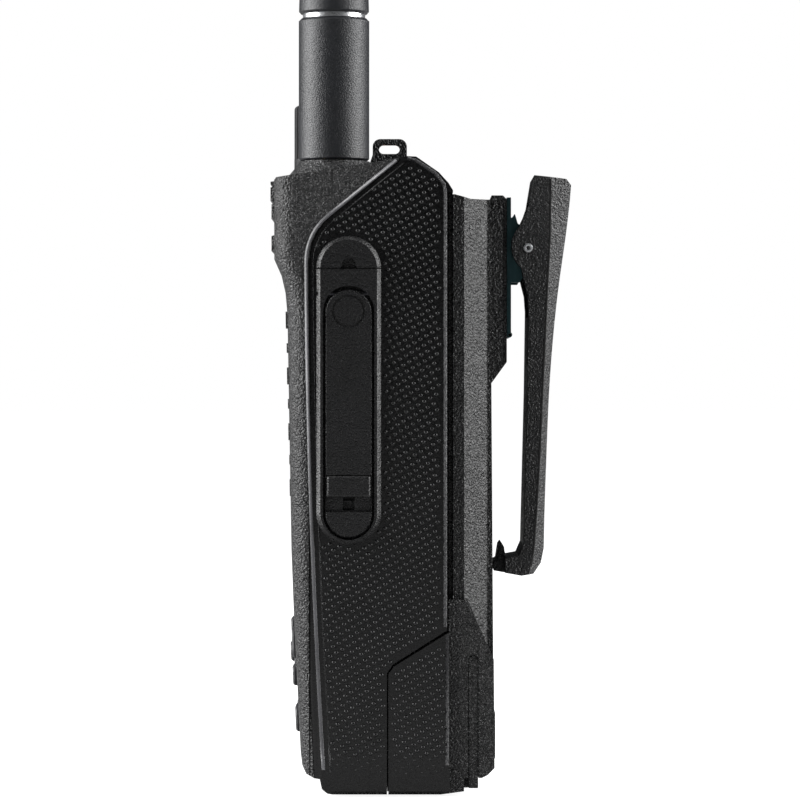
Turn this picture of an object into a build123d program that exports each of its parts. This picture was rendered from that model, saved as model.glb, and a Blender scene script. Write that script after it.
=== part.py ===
from build123d import *

import os
from math import atan2, cos, radians, sin, tan

# Handheld two-way radio with a removable battery, a spring belt clip and a screw-on antenna.
# Millimetres. +Z is up, -Y is the front with the keys, +X is the side with the accessory connector.
# The origin is on the underside of the chassis, on the radio's centre plane.

os.makedirs("parts", exist_ok=True)

# ------------------------------------------------------------------ driving dimensions
HALF_WIDTH = 27.5  # the two grip faces
WALL = 1.8
CORNER_RADIUS = 4.0  # front vertical corners
SEAM = 0.3  # gap that the main seal fills
BACK_Y = 13.3  # rear wall that the battery slides on
LIP_REACH = 1.2  # overhang of the rear slope above the battery
FOOT_Y = 1.0  # rear of the chassis beside the battery's foot
FIT = 0.15  # clearance all round a button or an inset piece
SLIDE_GAP = 0.3  # clearance between pieces that slide on each other

# (height, front face) of the plan sections, from the base to the top of the brow
FRONT_SECTIONS = [
    (0.0, -16.3),
    (38.0, -18.15),
    (50.0, -18.6),
    (98.0, -19.4),
    (102.5, -19.8),
    (106.0, -20.6),
    (109.4, -22.1),
    (134.0, -22.2),
]
BROW_Y = -22.1

ANTENNA_AT = (14.5, -10.0)
CHANNEL_AT = (-2.5, -11.2)
VOLUME_AT = (-18.0, -10.9)
ANTENNA_RADIUS = 7.3
SEAT_Z = 130.0  # antenna seat
KNOB_SEAT_Z = 129.0
DECK_UNDERSIDE = 124.6  # where the socket and the switches bear from inside

CONNECTOR_Y = -6.8  # centre line of the side recesses
RECESS_LOW_Z, RECESS_HIGH_Z = 51.0, 114.1
RECESS_RADIUS = 6.6

PIN_Y, PIN_Z = 30.3, 112.2  # belt clip pivot
PIN_RADIUS = 0.95
CLIP_HALF_WIDTH = 13.0
CLIP_CHEEK = 2.6
EDGE_CHAMFER = 0.8  # along the bottom of both sides


# ------------------------------------------------------------------ shared helpers
def side_prism(points, half_width):
    """A prism of a (Y, Z) outline, the same each side of the centre plane."""
    with BuildPart() as prism:
        with BuildSketch(Plane.YZ):
            with BuildLine():
                Polyline(points, close=True)
            make_face()
        extrude(amount=half_width, both=True)
    return prism.part


def end_prism(half_width):
    """A long prism along Y that trims both sides and chamfers their bottom edges."""
    with BuildPart() as prism:
        with BuildSketch(Plane.XZ):
            with BuildLine():
                Polyline(
                    (-half_width, EDGE_CHAMFER),
                    (-half_width + EDGE_CHAMFER, 0.0),
                    (half_width - EDGE_CHAMFER, 0.0),
                    (half_width, EDGE_CHAMFER),
                    (half_width, 140.0),
                    (-half_width, 140.0),
                    close=True,
                )
            make_face()
        extrude(amount=40, both=True)
    return prism.part


def slab(x, y, z):
    """A block given by its (low, high) extent along each axis."""
    with BuildPart() as block:
        with Locations(((x[0] + x[1]) / 2, (y[0] + y[1]) / 2, (z[0] + z[1]) / 2)):
            Box(x[1] - x[0], y[1] - y[0], z[1] - z[0])
    return block.part


def tilted_front(low, high, z):
    """The plane that lies on the front face at height z, between two plan sections."""
    lean = atan2(low[1] - high[1], high[0] - low[0])
    y = low[1] + (high[1] - low[1]) * (z - low[0]) / (high[0] - low[0])
    return Plane(origin=(0, y, z), x_dir=(1, 0, 0), z_dir=(0, -cos(lean), -sin(lean)))


def upright_slot(plane, centre_y, low_z, high_z, radius, depth, corner=None):
    """A vertical pill, or a rounded rectangle with a corner radius, pushed off a YZ plane."""
    with BuildPart() as pill:
        with BuildSketch(plane):
            with Locations((centre_y, (low_z + high_z) / 2)):
                if corner is None:
                    SlotOverall(high_z - low_z, 2 * radius, rotation=90)
                else:
                    RectangleRounded(2 * radius, high_z - low_z, corner)
        extrude(amount=depth)
    return pill.part


def yz_at(x):
    return Plane.YZ.offset(x)


# ------------------------------------------------------------------ the radio's outer form
def plan_section(z, front_y):
    """One plan section: square at the back, rounded at the front."""
    with BuildSketch(Plane.XY.offset(z)) as section:
        with BuildLine():
            left = Line((-HALF_WIDTH, BACK_Y + 8), (-HALF_WIDTH, front_y + CORNER_RADIUS))
            arc_left = RadiusArc(
                left @ 1, (-HALF_WIDTH + CORNER_RADIUS, front_y), -CORNER_RADIUS
            )
            face = Line(arc_left @ 1, (HALF_WIDTH - CORNER_RADIUS, front_y))
            arc_right = RadiusArc(face @ 1, (HALF_WIDTH, front_y + CORNER_RADIUS), -CORNER_RADIUS)
            right = Line(arc_right @ 1, (HALF_WIDTH, BACK_Y + 8))
            Line(right @ 1, left @ 0)
        make_face()
    return section.sketch


with BuildPart() as lofted:
    for height, front in FRONT_SECTIONS:
        add(plan_section(height, front))
    loft(ruled=True)

# side outline of the radio without its battery: base step, brow, deck, rear slope, battery bay
RADIO_OUTLINE = [
    (-30, 8.5),
    (-16.7, 8.5),
    (-16.35, 5.9),
    (-15.5, 4.2),
    (-13.8, 3.35),
    (-12.7, 3.2),
    (-12.3, 1.2),
    (-11.2, 0.2),
    (-10.2, 0.0),
    (FOOT_Y, 0.0),
    (FOOT_Y, 24.8),
    (2.2, 26.6),
    (BACK_Y, 33.6),
    (BACK_Y, 123.0),
    (BACK_Y + LIP_REACH, 123.0),
    (BACK_Y + LIP_REACH, 123.4),
    (13.6, 124.9),
    (11.6, 127.1),
    (7.0, 130.3),
    (5.0, 130.4),
    (-3.0, 128.9),
    (-18.5, 126.6),
    (-21.7, 126.2),
    (-22.3, 125.5),
    (-30, 125.5),
]
with BuildPart() as radio_outer:
    add(lofted.part)
    add(side_prism(RADIO_OUTLINE, HALF_WIDTH + 1), mode=Mode.INTERSECT)
    add(end_prism(HALF_WIDTH), mode=Mode.INTERSECT)

CAVITY_OUTLINE = [
    (-15.0, 6.2),
    (-16.5, 38),
    (-16.95, 50),
    (-17.6, 97),
    (-18.0, 103),
    (-19.0, 107.6),
    (-20.3, 111.2),
    (-20.3, 123.6),
    (-17.0, 124.6),
    (2.5, 127.6),
    (BACK_Y - 2, 121.2),
    (BACK_Y - 2, 34.9),
    (1.0, 28.4),
    (FOOT_Y - WALL, 26.0),
    (FOOT_Y - WALL, WALL),
    (-11.2, WALL),
    (-11.2, 5.2),
]
CAVITY_HALF_WIDTH = HALF_WIDTH - WALL
radio_cavity = side_prism(CAVITY_OUTLINE, CAVITY_HALF_WIDTH)


# side view of the seam: up the side, round a bend, then along a slope to the deck
SEAM_Y, SEAM_BEND_Z, SEAM_BEND_RADIUS = -14.9, 109.0, 12.0
SEAM_SLOPE = 39.0
SEAM_END_Y = 3.4


def front_zone(step):
    """The region of the front shell, moved back and down across the seam by step."""
    radius = SEAM_BEND_RADIUS - step
    bend = []
    for turn in (0, (90 - SEAM_SLOPE) / 2, 90 - SEAM_SLOPE):
        bend.append(
            (
                SEAM_Y + SEAM_BEND_RADIUS - radius * cos(radians(turn)),
                SEAM_BEND_Z + radius * sin(radians(turn)),
            )
        )
    end_y = SEAM_END_Y + step / 2
    end_z = bend[2][1] + (end_y - bend[2][0]) * tan(radians(SEAM_SLOPE))
    with BuildPart() as zone:
        with BuildSketch(Plane.YZ):
            with BuildLine():
                ThreePointArc(*bend)
                Polyline(
                    bend[2],
                    (end_y, end_z),
                    (end_y, 140),
                    (-40, 140),
                    (-40, -5),
                    (bend[0][0], -5),
                    bend[0],
                )
            make_face()
        extrude(amount=HALF_WIDTH + 2, both=True)
    return zone.part


shell_zone = front_zone(0.0)
seam_zone = front_zone(SEAM)

PLANE_LOW = tilted_front(FRONT_SECTIONS[0], FRONT_SECTIONS[1], 29.5)
PLANE_DISPLAY = tilted_front(FRONT_SECTIONS[2], FRONT_SECTIONS[3], 81.5)

# ------------------------------------------------------------------ keys on the lower front
KEY_FLANGE = 0.7
KEY_FLANGE_DEPTH = 1.9
KEY_LEDGE = 0.3  # how far the flange reaches past its hole
KEY_TRAVEL = 0.5
# name: (x, height above the key plane's centre, width, height, corner radius, rise)
KEYS = {
    "key_up": (0, 3.4, 10.4, 4.3, 1.5, 1.2),
    "key_down": (0, -6.6, 10.4, 4.3, 1.5, 1.4),
    "key_left": (-7.6, -1.6, 3.4, 6.2, 1.4, 0.8),
    "key_right": (7.6, -1.6, 3.4, 6.2, 1.4, 0.8),
    "key_ok": (0, -1.6, 8.4, 4.2, 2.0, 1.6),
    "key_menu": (-15.8, 1.0, 8.4, 6.4, 2.2, 0.8),
    "key_back": (15.8, 1.0, 8.4, 6.4, 2.2, 0.8),
    "key_program_1": (-9.6, -14.9, 12.6, 5.4, 2.0, 0.95),
    "key_program_2": (9.6, -14.9, 12.6, 5.4, 2.0, 0.95),
}

# ------------------------------------------------------------------ front shell
LENS_SIZE = (43.0, 33.0)
WINDOW_SIZE = (37.0, 27.0)
LENS_REBATE = 1.1
GRILLE_LOW_Z, GRILLE_HIGH_Z = 110.0, 124.4
GRILLE_HALF_WIDTH = 20.0
GRILLE_THICK = 1.2
MICROPHONE_UP = -19.6  # below the centre of the key plane
RIB_X, RIB_WIDTH, RIB_CORNER = 22.6, 1.7, 0.8
RIB_COUNT, RIB_PITCH, RIB_FIRST_UP = 7, 5.73, 15.5
RIB_LONG, RIB_SHORT = (3.5, 0.4), (2.0, 0.34)  # (height, rise)
RIB_FADE = 0.04  # each rib rises this much less than the one above
# (low, high, rise) of the raised bars across the brow
BROW_BARS = [(111.0, 114.4, 0.6), (117.6, 120.9, 0.6), (121.2, 124.4, 0.8)]
BROW_PAD_X = (20.5, 23.6)  # the ends of the bars, on the shell beside the grille
BROW_EDGE_Z = (124.7, 125.5)
SEAT_FLARE, SEAT_FLARE_HEIGHT = 2.5, 3.0  # cone at the foot of each seat
BORE_DEPTH = 14.0  # from above the deck into the cavity
BOSS_SITES = [(-19.5, 44.0), (19.5, 44.0), (-19.5, 104.0), (19.5, 104.0)]
BOSS_ROOT_Y = -17.2
SCREW_RADIUS = 1.1
LED_AT, LED_RADIUS = (6.0, -18.9), 1.2
EMERGENCY_AT = (-9.5, -1.4)
EMERGENCY_SIZE = (12.0, 4.0)
LOOP_X = (10.6, 13.4)
LOOP_FOOT_Z = 128.2
LOOP_FOOT_Y = (-1.6, 1.2)

SOCKET_NECK_RADIUS, SWITCH_NECK_RADIUS = 4.65, 3.65
# (place, radius, top, facets) of the seats; the knobs' seats are round
SEATS = [
    (ANTENNA_AT, 7.4, SEAT_Z, 10),
    (CHANNEL_AT, 7.0, KNOB_SEAT_Z, 0),
    (VOLUME_AT, 6.0, KNOB_SEAT_Z, 0),
]

with BuildPart() as front_housing:
    add(radio_outer.part)
    add(shell_zone, mode=Mode.INTERSECT)
    add(radio_cavity, mode=Mode.SUBTRACT)
    # seats for the antenna and the knobs, flared where they stand on the sloping deck
    for at, radius, top, facets in SEATS:
        with BuildSketch(Plane.XY.offset(top)):
            with Locations(at):
                if facets:
                    RegularPolygon(radius, facets, rotation=180 / facets)
                else:
                    Circle(radius)
        extrude(amount=DECK_UNDERSIDE - top)
        flare_radius = radius - 0.5
        with Locations((at[0], at[1], top - SEAT_FLARE_HEIGHT / 2)):
            Cone(flare_radius + SEAT_FLARE, flare_radius, SEAT_FLARE_HEIGHT)
    with BuildSketch(Plane.XY.offset(SEAT_Z + 5)):
        with Locations(ANTENNA_AT):
            Circle(SOCKET_NECK_RADIUS + 0.05)
        with Locations(CHANNEL_AT, VOLUME_AT):
            Circle(SWITCH_NECK_RADIUS + 0.05)
    extrude(amount=-BORE_DEPTH, mode=Mode.SUBTRACT)
    # emergency button well and status light hole
    with BuildSketch(Plane.XY.offset(SEAT_Z + 5)):
        with Locations(EMERGENCY_AT):
            RectangleRounded(EMERGENCY_SIZE[0] + 2 * FIT, EMERGENCY_SIZE[1] + 2 * FIT, 1.95)
        with Locations(LED_AT):
            Circle(LED_RADIUS + 0.05)
    extrude(amount=-BORE_DEPTH, mode=Mode.SUBTRACT)
    # slot that the strap loop's foot is set into
    add(slab(LOOP_X, LOOP_FOOT_Y, (LOOP_FOOT_Z, SEAT_Z + 2)), mode=Mode.SUBTRACT)
    # display window with a rebate for the lens
    with BuildSketch(PLANE_DISPLAY):
        RectangleRounded(LENS_SIZE[0] + 2 * FIT, LENS_SIZE[1] + 2 * FIT, 2.5)
    extrude(amount=-LENS_REBATE, mode=Mode.SUBTRACT)
    with BuildSketch(PLANE_DISPLAY):
        RectangleRounded(*WINDOW_SIZE, 1.0)
    extrude(amount=-3.2, mode=Mode.SUBTRACT)
    # key holes and microphone hole
    with BuildSketch(PLANE_LOW):
        for x, up, wide, tall, corner, _ in KEYS.values():
            with Locations((x, up)):
                RectangleRounded(wide + 2 * FIT, tall + 2 * FIT, corner + FIT)
    extrude(amount=-4, mode=Mode.SUBTRACT)
    with BuildSketch(PLANE_LOW):
        with Locations((0, MICROPHONE_UP)):
            Circle(0.7)
    extrude(amount=-4, mode=Mode.SUBTRACT)
    # opening for the speaker grille in the brow
    with BuildSketch(Plane.XZ.offset(-BROW_Y + 1)):
        with Locations((0, (GRILLE_LOW_Z + GRILLE_HIGH_Z) / 2)):
            RectangleRounded(
                2 * GRILLE_HALF_WIDTH + 2 * FIT, GRILLE_HIGH_Z - GRILLE_LOW_Z + 2 * FIT, 1.5
            )
    extrude(amount=-(GRILLE_THICK + 1), mode=Mode.SUBTRACT)
    with BuildSketch(Plane.XZ.offset(-BROW_Y + 1)):
        with Locations((0, (GRILLE_LOW_Z + GRILLE_HIGH_Z) / 2)):
            RectangleRounded(2 * GRILLE_HALF_WIDTH - 3, GRILLE_HIGH_Z - GRILLE_LOW_Z - 2.4, 1.0)
    extrude(amount=-5, mode=Mode.SUBTRACT)
    # grip ribs beside the display, long and short by turns
    for index in range(RIB_COUNT):
        tall, rise = RIB_LONG if index % 2 == 0 else RIB_SHORT
        up = RIB_FIRST_UP - index * RIB_PITCH
        with BuildSketch(PLANE_DISPLAY):
            with Locations((-RIB_X, up), (RIB_X, up)):
                RectangleRounded(RIB_WIDTH, tall, RIB_CORNER)
        extrude(amount=rise - index * RIB_FADE)
    # ends of the brow's bars, and the brow's upper edge
    for low, high, rise in BROW_BARS:
        with BuildSketch(Plane.XZ.offset(-BROW_Y)):
            for side in (-1, 1):
                with Locations((side * sum(BROW_PAD_X) / 2, (low + high) / 2)):
                    Rectangle(BROW_PAD_X[1] - BROW_PAD_X[0], high - low)
        extrude(amount=rise, taper=15)
    with BuildSketch(Plane.XZ.offset(-BROW_Y)):
        with Locations((0, sum(BROW_EDGE_Z) / 2)):
            Rectangle(2 * BROW_PAD_X[1], BROW_EDGE_Z[1] - BROW_EDGE_Z[0])
    extrude(amount=BROW_BARS[-1][2], taper=10)
    # screw bosses reach back to the chassis
    with BuildSketch(Plane.XZ.offset(-4.0)):
        with Locations(*BOSS_SITES):
            Circle(2.6)
    extrude(amount=4.0 - BOSS_ROOT_Y)
    for site in BOSS_SITES[2:]:
        with BuildSketch(Plane.XZ.offset(-BOSS_ROOT_Y)):
            with Locations(site):
                Circle(2.6)
        extrude(amount=2.0)
    with BuildSketch(Plane.XZ.offset(-4.1)):
        with Locations(*BOSS_SITES):
            Circle(SCREW_RADIUS + 0.02)
    extrude(amount=11, mode=Mode.SUBTRACT)
front_housing.part.label = "front_housing"
export_step(front_housing.part, "parts/front_housing.step")

# ------------------------------------------------------------------ rear chassis
RAIL_X = 14.0
RAIL_HEIGHT = 0.9
RAIL_Z = (37.0, 119.0)
RAIL_WIDTH = 2.4
CHASSIS_SCREW_HEAD_RADIUS = 2.1

with BuildPart() as rear_chassis:
    add(radio_outer.part)
    add(seam_zone, mode=Mode.SUBTRACT)
    add(radio_cavity, mode=Mode.SUBTRACT)
    # one opening in each side: accessory connector and push-to-talk module
    for side in (-1, 1):
        add(
            upright_slot(
                yz_at(side * (HALF_WIDTH - 4)),
                CONNECTOR_Y,
                RECESS_LOW_Z + 0.6,
                RECESS_HIGH_Z - 0.6,
                RECESS_RADIUS - 0.6,
                side * 8,
            ),
            mode=Mode.SUBTRACT,
        )
    # two rails that guide the battery
    for side in (-1, 1):
        with Locations((side * RAIL_X, BACK_Y + RAIL_HEIGHT / 2, sum(RAIL_Z) / 2)):
            Box(RAIL_WIDTH, RAIL_HEIGHT, RAIL_Z[1] - RAIL_Z[0])
    # countersunk clearance holes for the case screws, inside the battery bay
    with Locations(Plane.XZ.offset(-BACK_Y)):
        with Locations(*[(x, z) for x, z in BOSS_SITES]):
            CounterBoreHole(
                SCREW_RADIUS + 0.15, CHASSIS_SCREW_HEAD_RADIUS + 0.15, 1.0, depth=6
            )
    # hollow posts that meet the front bosses, bored through for the screws
    with BuildSketch(Plane.XZ.offset(-4.1)):
        with Locations(*BOSS_SITES):
            Circle(2.6)
            Circle(SCREW_RADIUS + 0.15, mode=Mode.SUBTRACT)
    extrude(amount=-(BACK_Y - 1.5 - 4.1))
    # window for the battery terminals
    with Locations((0, BACK_Y, 60)):
        Box(16.4, 6, 6.4, mode=Mode.SUBTRACT)
rear_chassis.part.label = "rear_chassis"
export_step(rear_chassis.part, "parts/rear_chassis.step")

# the seal fills the seam, set in from the outer surface
SEAL_INSET = 0.7
with BuildPart() as main_seal:
    add(side_prism(RADIO_OUTLINE, HALF_WIDTH - SEAL_INSET))
    add(seam_zone, mode=Mode.INTERSECT)
    add(shell_zone, mode=Mode.SUBTRACT)
    add(radio_cavity, mode=Mode.SUBTRACT)
    add(slab((-40, 40), (-40, 0), (-1, WALL)), mode=Mode.SUBTRACT)
main_seal.part.label = "main_seal"
export_step(main_seal.part, "parts/main_seal.step")

# ------------------------------------------------------------------ display and speaker
with BuildPart() as display_lens:
    with BuildSketch(PLANE_DISPLAY.offset(-LENS_REBATE)):
        RectangleRounded(*LENS_SIZE, 2.35)
    extrude(amount=LENS_REBATE - 0.1)
display_lens.part.label = "display_lens"
export_step(display_lens.part, "parts/display_lens.step")

MODULE_DEPTH, MODULE_THICK = 1.95, 2.6
with BuildPart() as display_module:
    with BuildSketch(PLANE_DISPLAY.offset(-MODULE_DEPTH)):
        Rectangle(36.6, 30.6)
    extrude(amount=-MODULE_THICK)
    with BuildSketch(PLANE_DISPLAY.offset(-MODULE_DEPTH)):
        Rectangle(34.0, 25.0)
    extrude(amount=-0.3, mode=Mode.SUBTRACT)
display_module.part.label = "display_module"
export_step(display_module.part, "parts/display_module.step")

GRILLE_HEIGHT = GRILLE_HIGH_Z - GRILLE_LOW_Z
HOLE_RADIUS, HOLE_PITCH, HOLES_PER_ROW = 0.55, 2.1, 15
HOLE_ROWS_Z = (112.7, 116.0, 119.2, 122.8)
with BuildPart() as speaker_grille:
    with BuildSketch(Plane.XZ.offset(-BROW_Y - GRILLE_THICK)):
        with Locations((0, (GRILLE_LOW_Z + GRILLE_HIGH_Z) / 2)):
            RectangleRounded(2 * GRILLE_HALF_WIDTH, GRILLE_HEIGHT, 1.35)
    extrude(amount=GRILLE_THICK)
    # three raised bars
    for low, high, rise in BROW_BARS:
        with BuildSketch(Plane.XZ.offset(-BROW_Y)):
            with Locations((0, (low + high) / 2)):
                Rectangle(2 * GRILLE_HALF_WIDTH - 1.2, high - low)
        extrude(amount=rise, taper=15)
    # rows of sound holes through the bars and the groove
    with BuildSketch(Plane.XZ.offset(-BROW_Y + 2)):
        for row_z in HOLE_ROWS_Z:
            with Locations((0, row_z)):
                with GridLocations(HOLE_PITCH, 1, HOLES_PER_ROW, 1):
                    Circle(HOLE_RADIUS)
    extrude(amount=-6, mode=Mode.SUBTRACT)
speaker_grille.part.label = "speaker_grille"
export_step(speaker_grille.part, "parts/speaker_grille.step")

SPEAKER_Z = 117.0
SPEAKER_FRONT_Y, SPEAKER_BACK_Y = -20.25, -15.8
with BuildPart() as speaker_driver:
    with BuildSketch(Plane.XZ.offset(-SPEAKER_FRONT_Y)):
        with Locations((0, SPEAKER_Z)):
            SlotOverall(32, 11.4)
    extrude(amount=-1.2)
    with BuildSketch(Plane.XZ.offset(-SPEAKER_FRONT_Y - 1.2)):
        with Locations((0, SPEAKER_Z)):
            SlotOverall(28, 9.4)
    extrude(amount=-(SPEAKER_BACK_Y - SPEAKER_FRONT_Y - 1.2))
    # cone dished into the front
    with BuildSketch(Plane.XZ.offset(-SPEAKER_FRONT_Y)):
        with Locations((0, SPEAKER_Z)):
            SlotOverall(29, 8.6)
    extrude(amount=-0.9, taper=30, mode=Mode.SUBTRACT)
speaker_driver.part.label = "speaker_driver"
export_step(speaker_driver.part, "parts/speaker_driver.step")

# ------------------------------------------------------------------ keys and their switches
for key_name, (x, up, wide, tall, corner, rise) in KEYS.items():
    with BuildPart() as key:
        with BuildSketch(PLANE_LOW.offset(-KEY_FLANGE_DEPTH - 0.01)):
            with Locations((x, up)):
                RectangleRounded(wide, tall, corner)
        extrude(amount=KEY_FLANGE_DEPTH + rise)
        chamfer(key.faces().sort_by(Axis.Y)[0].edges(), 0.35)
        with BuildSketch(PLANE_LOW.offset(-KEY_FLANGE_DEPTH)):
            with Locations((x, up)):
                RectangleRounded(wide + 2 * KEY_LEDGE, tall + 2 * KEY_LEDGE, corner)
        extrude(amount=-KEY_FLANGE)
    key.part.label = key_name
    export_step(key.part, f"parts/{key_name}.step")

MEMBRANE_DEPTH = KEY_FLANGE_DEPTH + KEY_FLANGE + KEY_TRAVEL + 0.1
MEMBRANE_THICK = 1.0
with BuildPart() as keypad_membrane:
    with BuildSketch(PLANE_LOW.offset(-MEMBRANE_DEPTH)):
        with Locations((0, -5.6)):
            RectangleRounded(41.0, 26.0, 2)
    extrude(amount=-MEMBRANE_THICK)
keypad_membrane.part.label = "keypad_membrane"
export_step(keypad_membrane.part, "parts/keypad_membrane.step")

with BuildPart() as microphone:
    with BuildSketch(PLANE_LOW.offset(-1.7)):
        with Locations((0, MICROPHONE_UP)):
            Circle(1.9)
    extrude(amount=-1.4)
microphone.part.label = "microphone"
export_step(microphone.part, "parts/microphone.step")

# ------------------------------------------------------------------ inside the radio
CORE_HALF_WIDTH = 16.6  # between the screw bosses
BOARD_Y = (-5.8, -4.6)


def front_y(z):
    """Y of the outer front face at height z."""
    for (low_z, low_y), (high_z, high_y) in zip(FRONT_SECTIONS, FRONT_SECTIONS[1:]):
        if z <= high_z:
            return low_y + (high_y - low_y) * (z - low_z) / (high_z - low_z)
    return FRONT_SECTIONS[-1][1]


KEYPAD_BACK = MEMBRANE_DEPTH + MEMBRANE_THICK + 0.02
DISPLAY_BACK = MODULE_DEPTH + MODULE_THICK + 0.02
with BuildPart() as cast_frame:
    add(
        side_prism(
            [
                (front_y(12) + KEYPAD_BACK, 12),
                (front_y(42) + KEYPAD_BACK, 42),
                (front_y(66) + DISPLAY_BACK, 66),
                (front_y(97) + DISPLAY_BACK, 97),
                (-13.2, 108),
                (BOARD_Y[0], 108),
                (BOARD_Y[0], 12),
            ],
            CORE_HALF_WIDTH,
        )
    )
    # pockets over the board, with webs between them
    with BuildSketch(Plane.XZ.offset(-BOARD_Y[0])):
        with Locations((0, 60)):
            with GridLocations(16.0, 22.4, 2, 4):
                RectangleRounded(14.4, 20.4, 1.5)
    extrude(amount=2.6, mode=Mode.SUBTRACT)
cast_frame.part.label = "cast_frame"
export_step(cast_frame.part, "parts/cast_frame.step")

with BuildPart() as main_board:
    add(slab((-CORE_HALF_WIDTH, CORE_HALF_WIDTH), BOARD_Y, (8, 112)))
main_board.part.label = "main_board"
export_step(main_board.part, "parts/main_board.step")

with BuildPart() as rf_shields:
    for low, high in ((14, 40), (68, 86), (88, 108)):
        add(slab((-15, 15), (BOARD_Y[1], BOARD_Y[1] + 2.2), (low, high)))
rf_shields.part.label = "rf_shields"
export_step(rf_shields.part, "parts/rf_shields.step")

with BuildPart() as led_window:
    with BuildSketch(Plane.XY.offset(123.5)):
        with Locations(LED_AT):
            Circle(LED_RADIUS)
    extrude(amount=3.3)
    fillet(led_window.faces().sort_by(Axis.Z)[-1].edges(), 0.7)
led_window.part.label = "led_window"
export_step(led_window.part, "parts/led_window.step")

with BuildPart() as chassis_screws:
    for x, z in BOSS_SITES:
        with BuildSketch(Plane.XZ.offset(-BACK_Y + 0.15)):
            with Locations((x, z)):
                Circle(CHASSIS_SCREW_HEAD_RADIUS)
        extrude(amount=0.85)
        with BuildSketch(Plane.XZ.offset(-BACK_Y + 1.0)):
            with Locations((x, z)):
                Circle(SCREW_RADIUS)
        extrude(amount=15.5)
    # hexalobular drive, simplified to a hexagon
    with BuildSketch(Plane.XZ.offset(-BACK_Y)):
        with Locations(*BOSS_SITES):
            RegularPolygon(1.0, 6)
    extrude(amount=0.7, mode=Mode.SUBTRACT)
chassis_screws.part.label = "chassis_screws"
export_step(chassis_screws.part, "parts/chassis_screws.step")

TERMINAL_Z = 60.0
TERMINAL_X = (-5.4, -1.8, 1.8, 5.4)
with BuildPart() as battery_spring_contacts:
    add(slab((-8.0, 8.0), (BOARD_Y[1], BACK_Y - 0.6), (TERMINAL_Z - 3, TERMINAL_Z + 3)))
    with Locations(*[(x, BACK_Y - 0.35, TERMINAL_Z) for x in TERMINAL_X]):
        Box(1.4, 0.9, 4.4)
battery_spring_contacts.part.label = "battery_spring_contacts"
export_step(battery_spring_contacts.part, "parts/battery_spring_contacts.step")

# ------------------------------------------------------------------ side modules
BEZEL_RISE = 1.2
PLUG_RADIUS = RECESS_RADIUS - 0.62
INNER_X = HALF_WIDTH - WALL
HOOD_SPLIT_Z = 107.3
COVER_RADIUS, COVER_LOW_Z, COVER_HIGH_Z = 4.95, 52.4, 103.3
COVER_X = (27.0, 28.6)
POCKET_FLOOR_X = 26.2
COVER_PIN_X, COVER_PIN_Z, COVER_PIN_RADIUS = 27.8, 102.3, 0.5
LATCH_Z = (60.7, 65.2)


def side_bezel(side):
    """Raised pill on a grip face, with a plug that fills the opening through the wall."""
    with BuildPart() as bezel:
        add(
            upright_slot(
                yz_at(side * HALF_WIDTH),
                CONNECTOR_Y,
                RECESS_LOW_Z,
                RECESS_HIGH_Z,
                RECESS_RADIUS,
                side * BEZEL_RISE,
            )
        )
        add(
            upright_slot(
                yz_at(side * INNER_X),
                CONNECTOR_Y,
                RECESS_LOW_Z + 0.62,
                RECESS_HIGH_Z - 0.62,
                PLUG_RADIUS,
                side * WALL,
            )
        )
    return bezel.part


with BuildPart() as connector_frame:
    add(side_bezel(1))
    chamfer(connector_frame.faces().sort_by(Axis.X)[-1].edges(), 0.8)
    # shadow line under the hood
    add(
        slab((HALF_WIDTH + 0.4, 40), (-20, 20), (HOOD_SPLIT_Z, HOOD_SPLIT_Z + 0.25)),
        mode=Mode.SUBTRACT,
    )
    # pocket for the cover, with room above it for the swing
    add(
        upright_slot(
            yz_at(POCKET_FLOOR_X),
            CONNECTOR_Y,
            COVER_LOW_Z - 0.35,
            COVER_HIGH_Z + 0.6,
            COVER_RADIUS + 0.3,
            5.0,
        ),
        mode=Mode.SUBTRACT,
    )
    # round-topped notch in the hood's lower edge
    with BuildSketch(yz_at(HALF_WIDTH - 0.4)):
        with BuildLine():
            sill = Line((CONNECTOR_Y + 1.75, HOOD_SPLIT_Z), (CONNECTOR_Y - 1.75, HOOD_SPLIT_Z))
            Line(sill @ 1, (CONNECTOR_Y - 1.35, HOOD_SPLIT_Z + 1.2))
            Line(sill @ 0, (CONNECTOR_Y + 1.35, HOOD_SPLIT_Z + 1.2))
            ThreePointArc(
                (CONNECTOR_Y - 1.35, HOOD_SPLIT_Z + 1.2),
                (CONNECTOR_Y, HOOD_SPLIT_Z + 2.35),
                (CONNECTOR_Y + 1.35, HOOD_SPLIT_Z + 1.2),
            )
        make_face()
    extrude(amount=4, mode=Mode.SUBTRACT)
    # opening for the contacts
    add(
        upright_slot(yz_at(INNER_X - 1), CONNECTOR_Y, 60.0, 98.0, 4.0, 5.0, corner=1.0),
        mode=Mode.SUBTRACT,
    )
    # holes for the cover's hinge pin
    with BuildSketch(Plane.XZ.offset(20)):
        with Locations((COVER_PIN_X, COVER_PIN_Z)):
            Circle(COVER_PIN_RADIUS)
    extrude(amount=-(20 + CONNECTOR_Y + 4.9), mode=Mode.SUBTRACT)
connector_frame.part.label = "connector_frame"
export_step(connector_frame.part, "parts/connector_frame.step")

CONTACT_ROWS = 6
with BuildPart() as contact_carrier:
    add(slab((INNER_X - 2.2, INNER_X), (CONNECTOR_Y - 5.2, CONNECTOR_Y + 5.2), (57.0, 101.0)))
contact_carrier.part.label = "contact_carrier"
export_step(contact_carrier.part, "parts/contact_carrier.step")

with BuildPart() as accessory_contacts:
    with BuildSketch(yz_at(INNER_X)):
        with Locations((CONNECTOR_Y, 79.0)):
            with GridLocations(4.2, 5.4, 2, CONTACT_ROWS):
                Circle(1.0)
    extrude(amount=0.35)
accessory_contacts.part.label = "accessory_contacts"
export_step(accessory_contacts.part, "parts/accessory_contacts.step")

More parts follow.
